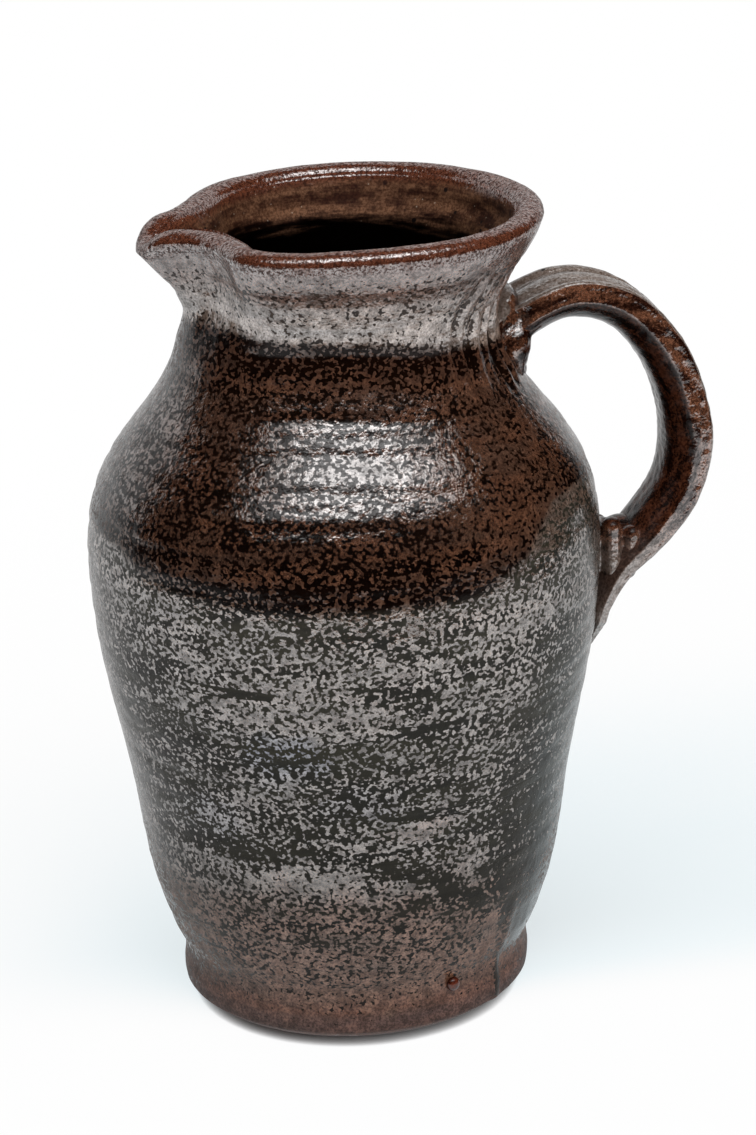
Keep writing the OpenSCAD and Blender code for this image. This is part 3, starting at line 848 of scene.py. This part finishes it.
def stretchedNoise(tree, vector, scale, row):
    factors, *texture = row
    return noiseAt(tree, times(tree, vector, factors), scale, *texture)


glazePattern = {
    # stretch of a noise, then its detail, roughness and twist
    "speck": ((1, 1, 1.15), 1.3, 0.45), "cluster": ((0.8, 0.8, 1.6), 3.0, 0.6, 0.3),
    "band": ((0.16, 0.16, 2.2), 2.0, 0.6), "bandScale": 150.0,
    # the peel: detail, roughness and twist
    "pits": (1.5, 0.5, 0.3), "grain": (1.0, 0.5),
    # scored lines: how they waver, break off, and how sharp line and rim are
    "wave": ((0.3, 0.3, 1.0), 2.0), "waveScale": 60.0, "waveReach": 0.0035, "level": (0.02, 0.02, 1.0),
    "gate": ((0.5, 0.5, 1.6), 1.0), "gateScale": 55.0, "gateShare": 0.3, "gateEdge": (0.60, 0.68),
    "lineAt": 0.62, "lineEdge": (0.011, 0.004), "rimAt": 0.50, "rimEdge": (0.09, 0.03),
    # a dot's soft edge, and the ring inside it
    "dotEdge": (0.0, 0.35), "ringAt": 0.25, "ringEdge": (0.22, 0.06),
}


def glazeFieldGroup():
    # two glazes that broke apart in the kiln: 1 where the crust shows, 0 where it ran smooth and dark
    tree, g, out = shaderGroup("glazeField", {
        "Speckle Scale": 500.0, "Cluster Scale": 70.0, "Cluster Share": 0.5, "Band Share": 0.3,
        "Bias": 0.0, "Softness": 0.03}, ["Crust"])
    p = glazePattern
    speck = stretchedNoise(tree, g["Vector"], g["Speckle Scale"], p["speck"])
    cluster = stretchedNoise(tree, g["Vector"], g["Cluster Scale"], p["cluster"])
    band = stretchedNoise(tree, g["Vector"], p["bandScale"], p["band"])
    drift = calc(tree, "MULTIPLY", centred(tree, cluster), g["Cluster Share"])
    lines = calc(tree, "MULTIPLY", centred(tree, band), g["Band Share"])
    value = calc(tree, "ADD", calc(tree, "ADD", centred(tree, speck), drift), lines)
    value = calc(tree, "ADD", value, g["Bias"])
    low = calc(tree, "MULTIPLY", g["Softness"], -1.0)
    tree.links.new(ease(tree, value, low, g["Softness"]), out["Crust"])
    return tree


def peelGroup():
    # the pitted skin of a salt glaze, as a height in metres
    tree, g, out = shaderGroup("orangePeel", {
        "Pit Scale": 520.0, "Grain Scale": 1900.0, "Pit Depth": 0.00008, "Grain Depth": 0.00003}, ["Height"])
    pits = noiseAt(tree, g["Vector"], g["Pit Scale"], *glazePattern["pits"])
    grain = noiseAt(tree, g["Vector"], g["Grain Scale"], *glazePattern["grain"])
    height = weighed(tree, product(tree, pits, g["Pit Depth"]), (grain, g["Grain Depth"]))
    tree.links.new(height, out["Height"])
    return tree


def dotsGroup():
    # small round spots scattered one to a cell in some of the cells
    tree, g, out = shaderGroup("scatteredDots", {"Scale": 400.0, "Share": 0.3, "Size": 0.15},
                               ["Dots", "Rings"])
    p = glazePattern
    cells = addNode(tree, "ShaderNodeTexVoronoi", {"Vector": g["Vector"], "Scale": g["Scale"]}).outputs
    chance = addNode(tree, "ShaderNodeSeparateColor", {0: cells["Color"]}).outputs[0]
    chosen = calc(tree, "LESS_THAN", chance, g["Share"])
    near = calc(tree, "SUBTRACT", 1.0, calc(tree, "DIVIDE", cells["Distance"], g["Size"]), clamp=True)
    tree.links.new(product(tree, ease(tree, near, *p["dotEdge"]), chosen), out["Dots"])
    edge = awayFrom(tree, near, p["ringAt"])
    tree.links.new(product(tree, ease(tree, edge, *p["ringEdge"]), chosen), out["Rings"])
    return tree


def scratchGroup():
    # thin level lines that the throwing rib scored, broken along their length
    tree, g, out = shaderGroup("scoredLines", {"Line Scale": 420.0, "Share": 0.5}, ["Lines", "Rims"])
    p = glazePattern
    wave = stretchedNoise(tree, g["Vector"], p["waveScale"], p["wave"])
    shift = addNode(tree, "ShaderNodeCombineXYZ", {2: product(tree, wave, p["waveReach"])})
    moved = calcVector(tree, "ADD", times(tree, g["Vector"], p["level"]), shift.outputs[0])
    line = noiseAt(tree, moved, g["Line Scale"], 0.0)
    gate = stretchedNoise(tree, g["Vector"], p["gateScale"], p["gate"])
    broken = ease(tree, weighed(tree, gate, (g["Share"], p["gateShare"])), *p["gateEdge"])
    for label, middle, edge in (("Lines", "lineAt", "lineEdge"), ("Rims", "rimAt", "rimEdge")):
        sharp = ease(tree, awayFrom(tree, line, p[middle]), *p[edge])
        tree.links.new(product(tree, sharp, broken), out[label])
    return tree


glazeField, orangePeel = glazeFieldGroup(), peelGroup()
scatteredDots, scoredLines = dotsGroup(), scratchGroup()


def useGroup(tree, group, links):
    return addNode(tree, "ShaderNodeGroup", links, node_tree=group).outputs


def ramp(tree, value, stops):
    node = addNode(tree, "ShaderNodeValToRGB", {0: value})
    band = node.color_ramp
    while len(band.elements) < len(stops):
        band.elements.new(0.5)
    for element, (place, colour) in zip(band.elements, stops):
        element.position = place
        element.color = (*colour, 1) if isinstance(colour, tuple) else (colour, colour, colour, 1)
    return node.outputs[0]


def newMaterial(name, constants):
    material = bpy.data.materials.new(name)
    material.use_nodes = True
    tree = material.node_tree
    shader = tree.nodes["Principled BSDF"]
    for key, value in constants.items():
        shader.inputs[key].default_value = value
    place = addNode(tree, "ShaderNodeTexCoord").outputs["Object"]
    return material, tree, shader, place


# glaze of the body
bodyGlaze = {
    "constants": {"IOR": 1.45, "Coat IOR": 4.0, "Coat Roughness": 0.105, "Specular IOR Level": 0.2},
    "crustCoat": 1.0, "crustRough": 0.65, "smoothRough": 0.2, "insideRough": 0.75,
    "smoothCoat": [(0, 0.0), (150, 0.0), (158, 0.20), (194, 0.20), (202, 0.05), (240, 0.05)],
    # crust by height: darkest at the very foot, painted shade under its bevel; lighter just below 143 and in
    # the neck band from 213, partly the crust's own colour and partly painted reflection of the sheet
    "crustColour": [(0, (0.016, 0.007, 0.005)), (4, (0.066, 0.034, 0.026)), (9, (0.078, 0.038, 0.029)),
                    (12, (0.105, 0.046, 0.027)), (24, (0.105, 0.060, 0.040)), (60, (0.085, 0.062, 0.047)),
                    (115, (0.100, 0.076, 0.060)), (143, (0.145, 0.110, 0.090)),
                    (146, (0.070, 0.036, 0.022)), (165, (0.088, 0.041, 0.023)),
                    (200, (0.084, 0.042, 0.026)), (210.5, (0.066, 0.032, 0.020)),
                    (213, (0.320, 0.275, 0.248)), (217, (0.310, 0.262, 0.232)),
                    (221, (0.235, 0.175, 0.142)), (226, (0.180, 0.100, 0.072)), (236, (0.100, 0.030, 0.014))],
    # smooth glaze by height: lighter in the neck band from 213, partly painted reflection of the sheet
    "smoothColour": [(0, (0.016, 0.008, 0.005)), (30, (0.011, 0.009, 0.006)), (70, (0.015, 0.014, 0.009)),
                     (110, (0.022, 0.021, 0.015)), (141, (0.026, 0.024, 0.018)),
                     (145, (0.004, 0.0014, 0.0008)), (200, (0.006, 0.0022, 0.001)),
                     (210.5, (0.006, 0.002, 0.001)), (213, (0.030, 0.019, 0.014)),
                     (226, (0.036, 0.020, 0.013)), (236, (0.010, 0.003, 0.0015))],
    "tan": (0.128, 0.070, 0.045), "blue": (0.070, 0.085, 0.135), "lip": (0.160, 0.046, 0.021),
    "lipDark": (0.034, 0.008, 0.003), "glint": (0.42, 0.34, 0.27),
    # the mouth's browns and specks; near black deep inside for painted shade, which begins at deepFrom and is
    # full at deepTo, as shares of the height, its edge made ragged by the streaks
    "mouth": (0.150, 0.070, 0.037), "mouthDark": (0.030, 0.009, 0.004), "insideShade": (0.0012, 0.0005, 0.0003),
    "deepFrom": 0.950, "deepTo": 0.925, "shadeRagged": 0.05, "mouthFleck": 0.4,
    # where the marks of mouth and lip begin and end, and how far up the scored lines show
    "insideEdge": (0.55, 0.90), "lipEdge": (0.02, 0.35), "linedTop": (0.64, 0.56), "linedFoot": (0.09, 0.13),
    "lipMottle": (0.36, 0.62), "mouthMottle": (0.34, 0.64),
    # how much of the sheen is left, by height
    "sheen": [(0, 0.04), (9, 0.10), (24, 0.22), (48, 0.32), (58, 0.70), (68, 0.85), (100, 0.88), (125, 1.0),
              (142.5, 1.0), (145, 0.32), (152, 0.40), (161, 0.95), (190, 0.9), (201, 0.4), (210.5, 0.32),
              (213, 1.0), (221, 0.95), (226, 0.70), (236, 1.0)],
    "field": {"Speckle Scale": 760.0, "Cluster Scale": 95.0, "Cluster Share": 0.24, "Band Share": 0.16,
              "Softness": 0.038},
    # what tips a spot to the crust or away from it
    "odds": {"cover": 0.066, "lip": 0.4, "rims": 0.05, "lines": -0.2, "rings": 0.16},
    # noises: what they read, scale, detail, roughness and stretch
    "noises": {"fleck": ("place", 330.0, 2.0, 0.6, (1, 1, 1)),
               "tone": ("place", 70.0, 3.0, 0.6, (0.5, 0.5, 2.2)),
               "grain": ("place", 1300.0, 2.0, 0.7, (1, 1, 1)),
               "streak": ("place", 120.0, 3.0, 0.65, (0.35, 0.35, 2.4))},
    # a noise's low and high end, and the colour's factors there
    "crustShades": [("tone", 0.38, 0.66, (1.15, 0.98, 0.86), (0.80, 0.80, 0.82)),
                    ("fleck", 0.36, 0.64, (0.70, 0.68, 0.66), (1.30, 1.30, 1.30)),
                    ("grain", 0.36, 0.64, (0.50, 0.44, 0.40), (1.36, 1.38, 1.40))],
    "mouthShades": [("grain", 0.36, 0.64, (0.55, 0.50, 0.46), (1.25, 1.28, 1.30))],
    "smoothShades": [("tone", 0.36, 0.66, (0.65, 0.65, 0.68), (1.35, 1.3, 1.2))],
    # the same for the coat's weight
    "coatShades": [("fleck", 0.34, 0.60, 0.60, 1.0), ("tone", 0.34, 0.66, 1.0, 0.78)],
    "sparkleAt": (0.38, 0.58), "dullest": 0.74, "dullestLip": 0.07, "lipPeel": 1.1,
    "scored": {"Line Scale": 150.0, "Share": 0.25}, "rings": {"Scale": 150.0, "Share": 0.16, "Size": 0.20},
    "specks": {"Scale": 190.0, "Share": 0.34, "Size": 0.17},
    "glints": {"Scale": 640.0, "Share": 0.20, "Size": 0.17}, "glintShare": 0.55,
    "speck": (0.008, 0.004, 0.003), "crustRise": 0.00003, "lineDepth": -0.00006,
    "peel": {"Pit Scale": 560.0, "Grain Scale": 2100.0, "Pit Depth": 0.00012, "Grain Depth": 0.00005},
    # scale and depth of the pits, then of the grain
    "coatPeel": (430.0, 0.00023, 1500.0, 0.00010),
}


def byHeight(tree, up, rows):
    return ramp(tree, up, [(h / glazeMap["top"], v) for h, v in rows])


def mixValue(tree, share, first, second):
    return addNode(tree, "ShaderNodeMix", {0: share, 2: first, 3: second}).outputs[0]


def marked(tree, label):
    return addNode(tree, "ShaderNodeAttribute", attribute_name=label).outputs["Fac"]


def noisesFor(tree, sources, rows):
    return {label: noiseAt(tree, times(tree, sources[source], factors), scale, detail, rough)
            for label, (source, scale, detail, rough, factors) in rows.items()}


def shaded(tree, colour, noises, rows):
    for label, low, high, dim, lit in rows:
        colour = blendColour(tree, ease(tree, noises[label], low, high),
                             times(tree, colour, dim), times(tree, colour, lit))
    return colour


def weights(tree, noises, rows):
    return [mixValue(tree, ease(tree, noises[label], low, high), first, second)
            for label, low, high, first, second in rows]


def bumpOf(tree, height):
    return addNode(tree, "ShaderNodeBump", {"Strength": 1.0, "Distance": 1.0, "Height": height}).outputs[0]


def coatBump(tree, shader, place, peel, depth):
    # the glassy top layer is smoother than what lies under it
    pitScale, pitDepth, grainScale, grainDepth = peel
    height = weighed(tree, product(tree, noiseAt(tree, place, pitScale, 1.0), pitDepth),
                     (noiseAt(tree, place, grainScale, 1.0), grainDepth))
    tree.links.new(bumpOf(tree, product(tree, height, depth)), shader.inputs["Coat Normal"])


def bodyMaterial():
    s = bodyGlaze
    material, tree, shader, place = newMaterial("saltGlaze", s["constants"])
    up = addNode(tree, "ShaderNodeSeparateXYZ", {0: place}).outputs[2]
    up = calc(tree, "DIVIDE", up, glazeMap["top"] * mm)
    mouth, cover, tint, zone = [marked(tree, label) for label in ("mouth", "cover", "tint", "zone")]
    inside = ease(tree, mouth, *s["insideEdge"])
    lip = ease(tree, mouth, *s["lipEdge"])
    outside = restOf(tree, inside)
    noises = noisesFor(tree, {"place": place}, s["noises"])
    grain, streak = noises["grain"], noises["streak"]
    scored = useGroup(tree, scoredLines, {"Vector": place, **s["scored"]})
    rings = useGroup(tree, scatteredDots, {"Vector": place, **s["rings"]})["Rings"]
    lined = product(tree, scored["Lines"], ease(tree, up, *s["linedTop"]), ease(tree, up, *s["linedFoot"]))
    odds = s["odds"]
    bias = weighed(tree, product(tree, cover, odds["cover"]), (lip, odds["lip"]),
                   (scored["Rims"], odds["rims"]), (lined, odds["lines"]), (rings, odds["rings"]))
    crust = useGroup(tree, glazeField, {"Vector": place, "Bias": bias, **s["field"]})["Crust"]
    # the crust: by height, with painted shade at the foot and painted reflection below the shoulder's line
    # and in the neck band, tinted in places, uneven from fleck to fleck, and bare clay's red on the lip
    crustColour = byHeight(tree, zone, s["crustColour"])
    crustColour = blendColour(tree, calc(tree, "MAXIMUM", tint, 0.0), crustColour, s["tan"])
    bluish = calc(tree, "MAXIMUM", product(tree, tint, -1.0), 0.0)
    crustColour = shaded(tree, blendColour(tree, bluish, crustColour, s["blue"]), noises, s["crustShades"])
    lipTone = blendColour(tree, ease(tree, grain, *s["lipMottle"]), s["lipDark"], s["lip"])
    crustColour = blendColour(tree, lip, crustColour, lipTone)
    # inside: streaks of two browns, black specks, and painted shade below
    uneven = weighed(tree, streak, (centred(tree, noises["fleck"]), s["mouthFleck"]))
    mouthTone = blendColour(tree, ease(tree, uneven, *s["mouthMottle"]), s["mouthDark"], s["mouth"])
    mouthTone = shaded(tree, mouthTone, noises, s["mouthShades"])
    specks = useGroup(tree, scatteredDots, {"Vector": place, **s["specks"]})["Dots"]
    mouthTone = blendColour(tree, specks, mouthTone, s["speck"])
    edgeUp = weighed(tree, up, (centred(tree, streak), s["shadeRagged"]))
    insideShade = ease(tree, edgeUp, s["deepFrom"], s["deepTo"])
    mouthTone = blendColour(tree, insideShade, mouthTone, s["insideShade"])
    crustColour = blendColour(tree, inside, crustColour, mouthTone)
    # the smooth glaze's height table paints part of the neck band's reflection
    smoothColour = shaded(tree, byHeight(tree, zone, s["smoothColour"]), noises, s["smoothShades"])
    colour = blendColour(tree, crust, smoothColour, crustColour)
    glint = useGroup(tree, scatteredDots, {"Vector": place, **s["glints"]})["Dots"]
    glint = product(tree, glint, restOf(tree, insideShade), s["glintShare"])
    tree.links.new(blendColour(tree, glint, colour, s["glint"]), shader.inputs["Base Color"])
    rough = mixValue(tree, crust, s["smoothRough"], s["crustRough"])
    tree.links.new(mixValue(tree, inside, rough, s["insideRough"]), shader.inputs["Roughness"])
    # the sheen is patchy from fleck to fleck, and nearly gone inside and at the foot
    dullest = mixValue(tree, lip, s["dullest"], s["dullestLip"])
    sparkle = mixValue(tree, ease(tree, grain, *s["sparkleAt"]), dullest, 1.0)
    coat = mixValue(tree, crust, byHeight(tree, zone, s["smoothCoat"]), s["crustCoat"])
    coat = product(tree, coat, *weights(tree, noises, s["coatShades"]), sparkle,
                   byHeight(tree, zone, s["sheen"]), outside)
    tree.links.new(coat, shader.inputs["Coat Weight"])
    height = useGroup(tree, orangePeel, {"Vector": place, **s["peel"]})["Height"]
    height = weighed(tree, height, (crust, s["crustRise"]), (lined, s["lineDepth"]))
    tree.links.new(bumpOf(tree, height), shader.inputs["Normal"])
    # painted shade: what little shows deep inside is made nearly black, as metal with a near-black colour
    tree.links.new(product(tree, insideShade, inside), shader.inputs["Metallic"])
    coatBump(tree, shader, place, s["coatPeel"], mixValue(tree, lip, 1.0, s["lipPeel"]))
    return material


# glaze of the handle, and the bead
handleGlaze = {
    "constants": {"IOR": 1.45, "Coat IOR": 3.2, "Coat Roughness": 0.08, "Specular IOR Level": 0.2},
    "brown": (0.190, 0.076, 0.040), "dark": (0.018, 0.005, 0.0025), "grey": (0.205, 0.158, 0.132),
    "pit": (0.010, 0.008, 0.007),
    "peel": {"Pit Scale": 480.0, "Grain Scale": 1700.0, "Pit Depth": 0.00012, "Grain Depth": 0.00006},
    "coatPeel": (380.0, 0.00020, 1300.0, 0.00011),
    "noises": {"streak": ("flow", 360.0, 3.0, 0.6, (0.22, 1, 1)),
               "patch": ("flow", 120.0, 3.0, 0.6, (0.45, 1, 1)),
               "grain": ("place", 1200.0, 2.0, 0.7, (1, 1, 1))},
    "shades": [("grain", 0.34, 0.66, (0.52, 0.46, 0.42), (1.32, 1.35, 1.38))],
    "coatShades": [("streak", 0.34, 0.60, 0.42, 1.0), ("grain", 0.38, 0.58, 0.55, 1.0)],
    "pits": {"Scale": 260.0, "Share": 0.30, "Size": 0.24}, "innerShade": (0.28, 0.22, 0.20),
    # below these heights the tail turns grey, a painted reflection of the sheet
    "tailReflectionSpan": (0.140, 0.126), "tailReflection": 0.85, "smoothRough": 0.18, "wearAndReflectionRough": 0.55, "wearAndReflectionPeel": 1.8,
    "streakRise": 0.00012, "pitDrop": -0.0001,
    # where dark turns brown and where grey shows, as bare crust and as painted reflection, and what adds to
    # each
    "browning": (0.52, 0.78), "grainShare": 0.3,
    "wearAndReflectionSpan": (0.88, 1.02), "streakShare": 0.5, "outerShare": 0.4,
    # pits on smooth glaze and on the grey of wear and painted reflection, then the sheen left in them and on
    # the strap's inner face
    "pitShares": (0.25, 0.9), "pitSheen": 0.2, "innerSheen": 0.08,
}


def handleMaterial():
    s = handleGlaze
    material, tree, shader, place = newMaterial("handleGlaze", s["constants"])
    along = addNode(tree, "ShaderNodeAttribute", attribute_name="flow").outputs["Vector"]
    inner = marked(tree, "inner")
    # streaks that follow the pull of the strap
    noises = noisesFor(tree, {"flow": along, "place": place}, s["noises"])
    streak = noises["streak"]
    tone = weighed(tree, streak, (noises["grain"], s["grainShare"]))
    colour = blendColour(tree, ease(tree, tone, *s["browning"]), s["dark"], s["brown"])
    # grey where patches and streaks wear the glaze, plus painted reflection where the strap faces out and on
    # the tail
    wearAndReflection = weighed(tree, noises["patch"], (streak, s["streakShare"]),
                   (marked(tree, "outer"), s["outerShare"]))
    height = addNode(tree, "ShaderNodeSeparateXYZ", {0: place}).outputs[2]
    tail = product(tree, ease(tree, height, *s["tailReflectionSpan"]), s["tailReflection"])
    wearAndReflection = calc(tree, "MAXIMUM", ease(tree, wearAndReflection, *s["wearAndReflectionSpan"]), tail)
    colour = shaded(tree, blendColour(tree, wearAndReflection, colour, s["grey"]), noises, s["shades"])
    pits = useGroup(tree, scatteredDots, {"Vector": place, **s["pits"]})["Dots"]
    pits = product(tree, pits, mixValue(tree, wearAndReflection, *s["pitShares"]))
    colour = blendColour(tree, pits, colour, s["pit"])
    # painted shade: the strap's inner face, which faces the body, is darkened
    colour = blendColour(tree, inner, colour, times(tree, colour, s["innerShade"]))
    tree.links.new(colour, shader.inputs["Base Color"])
    tree.links.new(mixValue(tree, wearAndReflection, s["smoothRough"], s["wearAndReflectionRough"]), shader.inputs["Roughness"])
    coat = product(tree, *weights(tree, noises, s["coatShades"]), mixValue(tree, pits, 1.0, s["pitSheen"]),
                   mixValue(tree, inner, 1.0, s["innerSheen"]))
    tree.links.new(coat, shader.inputs["Coat Weight"])
    height = useGroup(tree, orangePeel, {"Vector": place, **s["peel"]})["Height"]
    height = weighed(tree, height, (streak, s["streakRise"]), (pits, s["pitDrop"]))
    tree.links.new(bumpOf(tree, height), shader.inputs["Normal"])
    coatBump(tree, shader, place, s["coatPeel"], mixValue(tree, wearAndReflection, 1.0, s["wearAndReflectionPeel"]))
    return material


beadGlaze = {
    "constants": {"IOR": 1.5, "Coat IOR": 1.5, "Coat Roughness": 0.05, "Coat Weight": 0.3},
    "dark": (0.020, 0.004, 0.002), "red": (0.110, 0.022, 0.010), "noiseScale": 600.0,
    "reddening": (0.35, 0.65), "rough": 0.12, "redRough": 0.15,
}


def beadMaterial():
    s = beadGlaze
    material, tree, shader, place = newMaterial("ironMelt", s["constants"])
    tone = ease(tree, noiseAt(tree, place, s["noiseScale"], 2.0, 0.6), *s["reddening"])
    tree.links.new(blendColour(tree, tone, s["dark"], s["red"]), shader.inputs["Base Color"])
    tree.links.new(calc(tree, "MULTIPLY_ADD", tone, s["redRough"], s["rough"]), shader.inputs["Roughness"])
    return material


# build the jug
buildThrownBody(bodyMaterial())
print("body thrown")
handleSkin = handleMaterial()
buildStrap(handleSkin)
buildUpperJoin(handleSkin)
buildLowerJoin(handleSkin)
print("handle pulled and joined")
buildBead(beadMaterial())


# the studio
studio = {
    "left": -0.88, "right": 0.64, "front": -0.53, "back": 0.95, "rise": 1.5, "bend": 0.35,
    "sweepColour": (0.80, 0.82, 0.83), "glow": 0.97, "mirrorGlow": 1.0, "dark": 0.006,
    "shadeTint": (0.90, 0.975, 1.0), "closeShade": 0.0032, "closePower": 2.2, "wideShade": 0.35,
    # the wide shade's strength at the middle, and its growth to the right
    "shadeShare": 0.62, "shadeGrowth": 3.3, "widening": 0.9, "bendSteps": 17,
    # where the wide shade begins and ends behind the jug, and how it leans
    "shadeLean": 0.10, "shadeFront": (-0.035, 0.035), "shadeBack": (0.30, 0.14), "tinged": (0.0, 0.15),
    # where the sheet turns white to the eye, and grey to a reflection
    "whitening": (0.05, 0.6), "greying": (0.45, 0.02), "greyShare": 0.4,
    # name, shape, place, aim, size, power, seen in reflections
    "boxes": [("topBox", "ELLIPSE", (0.03, -0.58, 1.25), (0.0, 0.0, 0.12), (1.1, 0.60), 3.3, True),
              ("topHalo", "ELLIPSE", (0.0, -0.54, 1.29), (0.0, 0.0, 0.12), (2.2, 0.95), 5.6, True),
              ("topFill", "ELLIPSE", (0.0, -0.50, 1.31), (0.0, 0.0, 0.12), (2.0, 1.0), 6.8, False),
              ("frontFill", "RECTANGLE", (0.45, -1.35, 0.95), (0.0, 0.0, 0.12), (1.0, 1.0), 11.0, False)],
}


def buildSweep(s):
    # a white sheet on the table that curves up behind the jug
    line = [(s["front"], 0.0), (0.0, 0.0)]
    for i in range(s["bendSteps"]):
        a = math.pi / 2 * i / (s["bendSteps"] - 1)
        line.append((s["back"] - s["bend"] + s["bend"] * math.sin(a), s["bend"] * (1 - math.cos(a))))
    line.append((s["back"], s["rise"]))
    points = [(x, y, z) for y, z in line for x in (s["left"], s["right"])]
    # behind the jug the sheet is wider
    points = [(x * (1.0 + s["widening"] * max(0.0, y) / s["back"]), y, z) for x, y, z in points]
    faces = [(2 * i, 2 * i + 1, 2 * i + 3, 2 * i + 2) for i in range(len(line) - 1)]
    mesh = bpy.data.meshes.new("sweep")
    mesh.from_pydata(points, [], faces)
    shadeSmooth(mesh)
    sheet = bpy.data.objects.new("sweep", mesh)
    scene.collection.objects.link(sheet)
    material = bpy.data.materials.new("whiteSheet")
    material.use_nodes = True
    tree = material.node_tree
    tree.nodes.clear()
    close = addNode(tree, "ShaderNodeAmbientOcclusion", {"Distance": s["closeShade"]})
    wide = addNode(tree, "ShaderNodeAmbientOcclusion", {"Distance": s["wideShade"]})
    path = addNode(tree, "ShaderNodeLightPath")
    spot = addNode(tree, "ShaderNodeSeparateXYZ", {0: addNode(tree, "ShaderNodeTexCoord").outputs["Object"]})
    # the jug shades the sheet darkly where it stands, and faintly beside and behind it
    x, y, z = spot.outputs
    leaning = weighed(tree, y, (x, s["shadeLean"]))
    shade = product(tree, restOf(tree, wide.outputs["AO"]),
                    ease(tree, leaning, *s["shadeFront"]), ease(tree, leaning, *s["shadeBack"]),
                    calc(tree, "MULTIPLY_ADD", x, s["shadeGrowth"], s["shadeShare"]))
    lit = product(tree, calc(tree, "POWER", close.outputs["AO"], s["closePower"]), restOf(tree, shade))
    # the sheet is whiter to the eye away from the jug, and greyer to a reflection higher up
    eyeGlow = mixValue(tree, ease(tree, y, *s["whitening"]), s["glow"], 1.0)
    mirrorGlow = mixValue(tree, ease(tree, z, *s["greying"]), s["mirrorGlow"] * s["greyShare"],
                          s["mirrorGlow"])
    mirrored = calc(tree, "ADD", path.outputs["Is Glossy Ray"], path.outputs["Is Transmission Ray"],
                    clamp=True)
    glow = calc(tree, "ADD", product(tree, path.outputs["Is Camera Ray"], eyeGlow, lit),
                product(tree, mirrored, mirrorGlow), clamp=True)
    plain = addNode(tree, "ShaderNodeBsdfDiffuse", {"Color": (*s["sweepColour"], 1)})
    tinge = blendColour(tree, ease(tree, shade, *s["tinged"]), (1, 1, 1), s["shadeTint"])
    light = addNode(tree, "ShaderNodeEmission", {"Color": tinge, "Strength": 1.0})
    mixed = addNode(tree, "ShaderNodeMixShader", {0: glow, 1: plain.outputs[0], 2: light.outputs[0]})
    # from behind, the sheet doesn't hide the jug
    behind = addNode(tree, "ShaderNodeNewGeometry").outputs["Backfacing"]
    clear = addNode(tree, "ShaderNodeBsdfTransparent")
    mixed = addNode(tree, "ShaderNodeMixShader", {0: behind, 1: mixed.outputs[0], 2: clear.outputs[0]})
    out = addNode(tree, "ShaderNodeOutputMaterial", {0: mixed.outputs[0]})
    out.is_active_output = True
    mesh.materials.append(material)


def addSoftbox(name, shape, place, aim, size, power, mirrored):
    data = bpy.data.lights.new(name, "AREA")
    data.shape = shape
    data.size, data.size_y = size
    data.energy = power
    lamp = bpy.data.objects.new(name, data)
    lamp.location = place
    lamp.visible_glossy = mirrored
    lamp.rotation_euler = (Vector(aim) - Vector(place)).to_track_quat("-Z", "Y").to_euler()
    scene.collection.objects.link(lamp)


buildSweep(studio)
for box in studio["boxes"]:
    addSoftbox(*box)
world = bpy.data.worlds.new("room")
world.use_nodes = True
roomTree = world.node_tree
roomShade = roomTree.nodes["Background"]
roomPath = addNode(roomTree, "ShaderNodeLightPath")
roomTree.links.new(calc(roomTree, "MAXIMUM", roomPath.outputs["Is Camera Ray"], studio["dark"]),
                   roomShade.inputs["Strength"])
roomShade.inputs["Color"].default_value = (1, 1, 1, 1)
scene.world = world
print("studio lit")
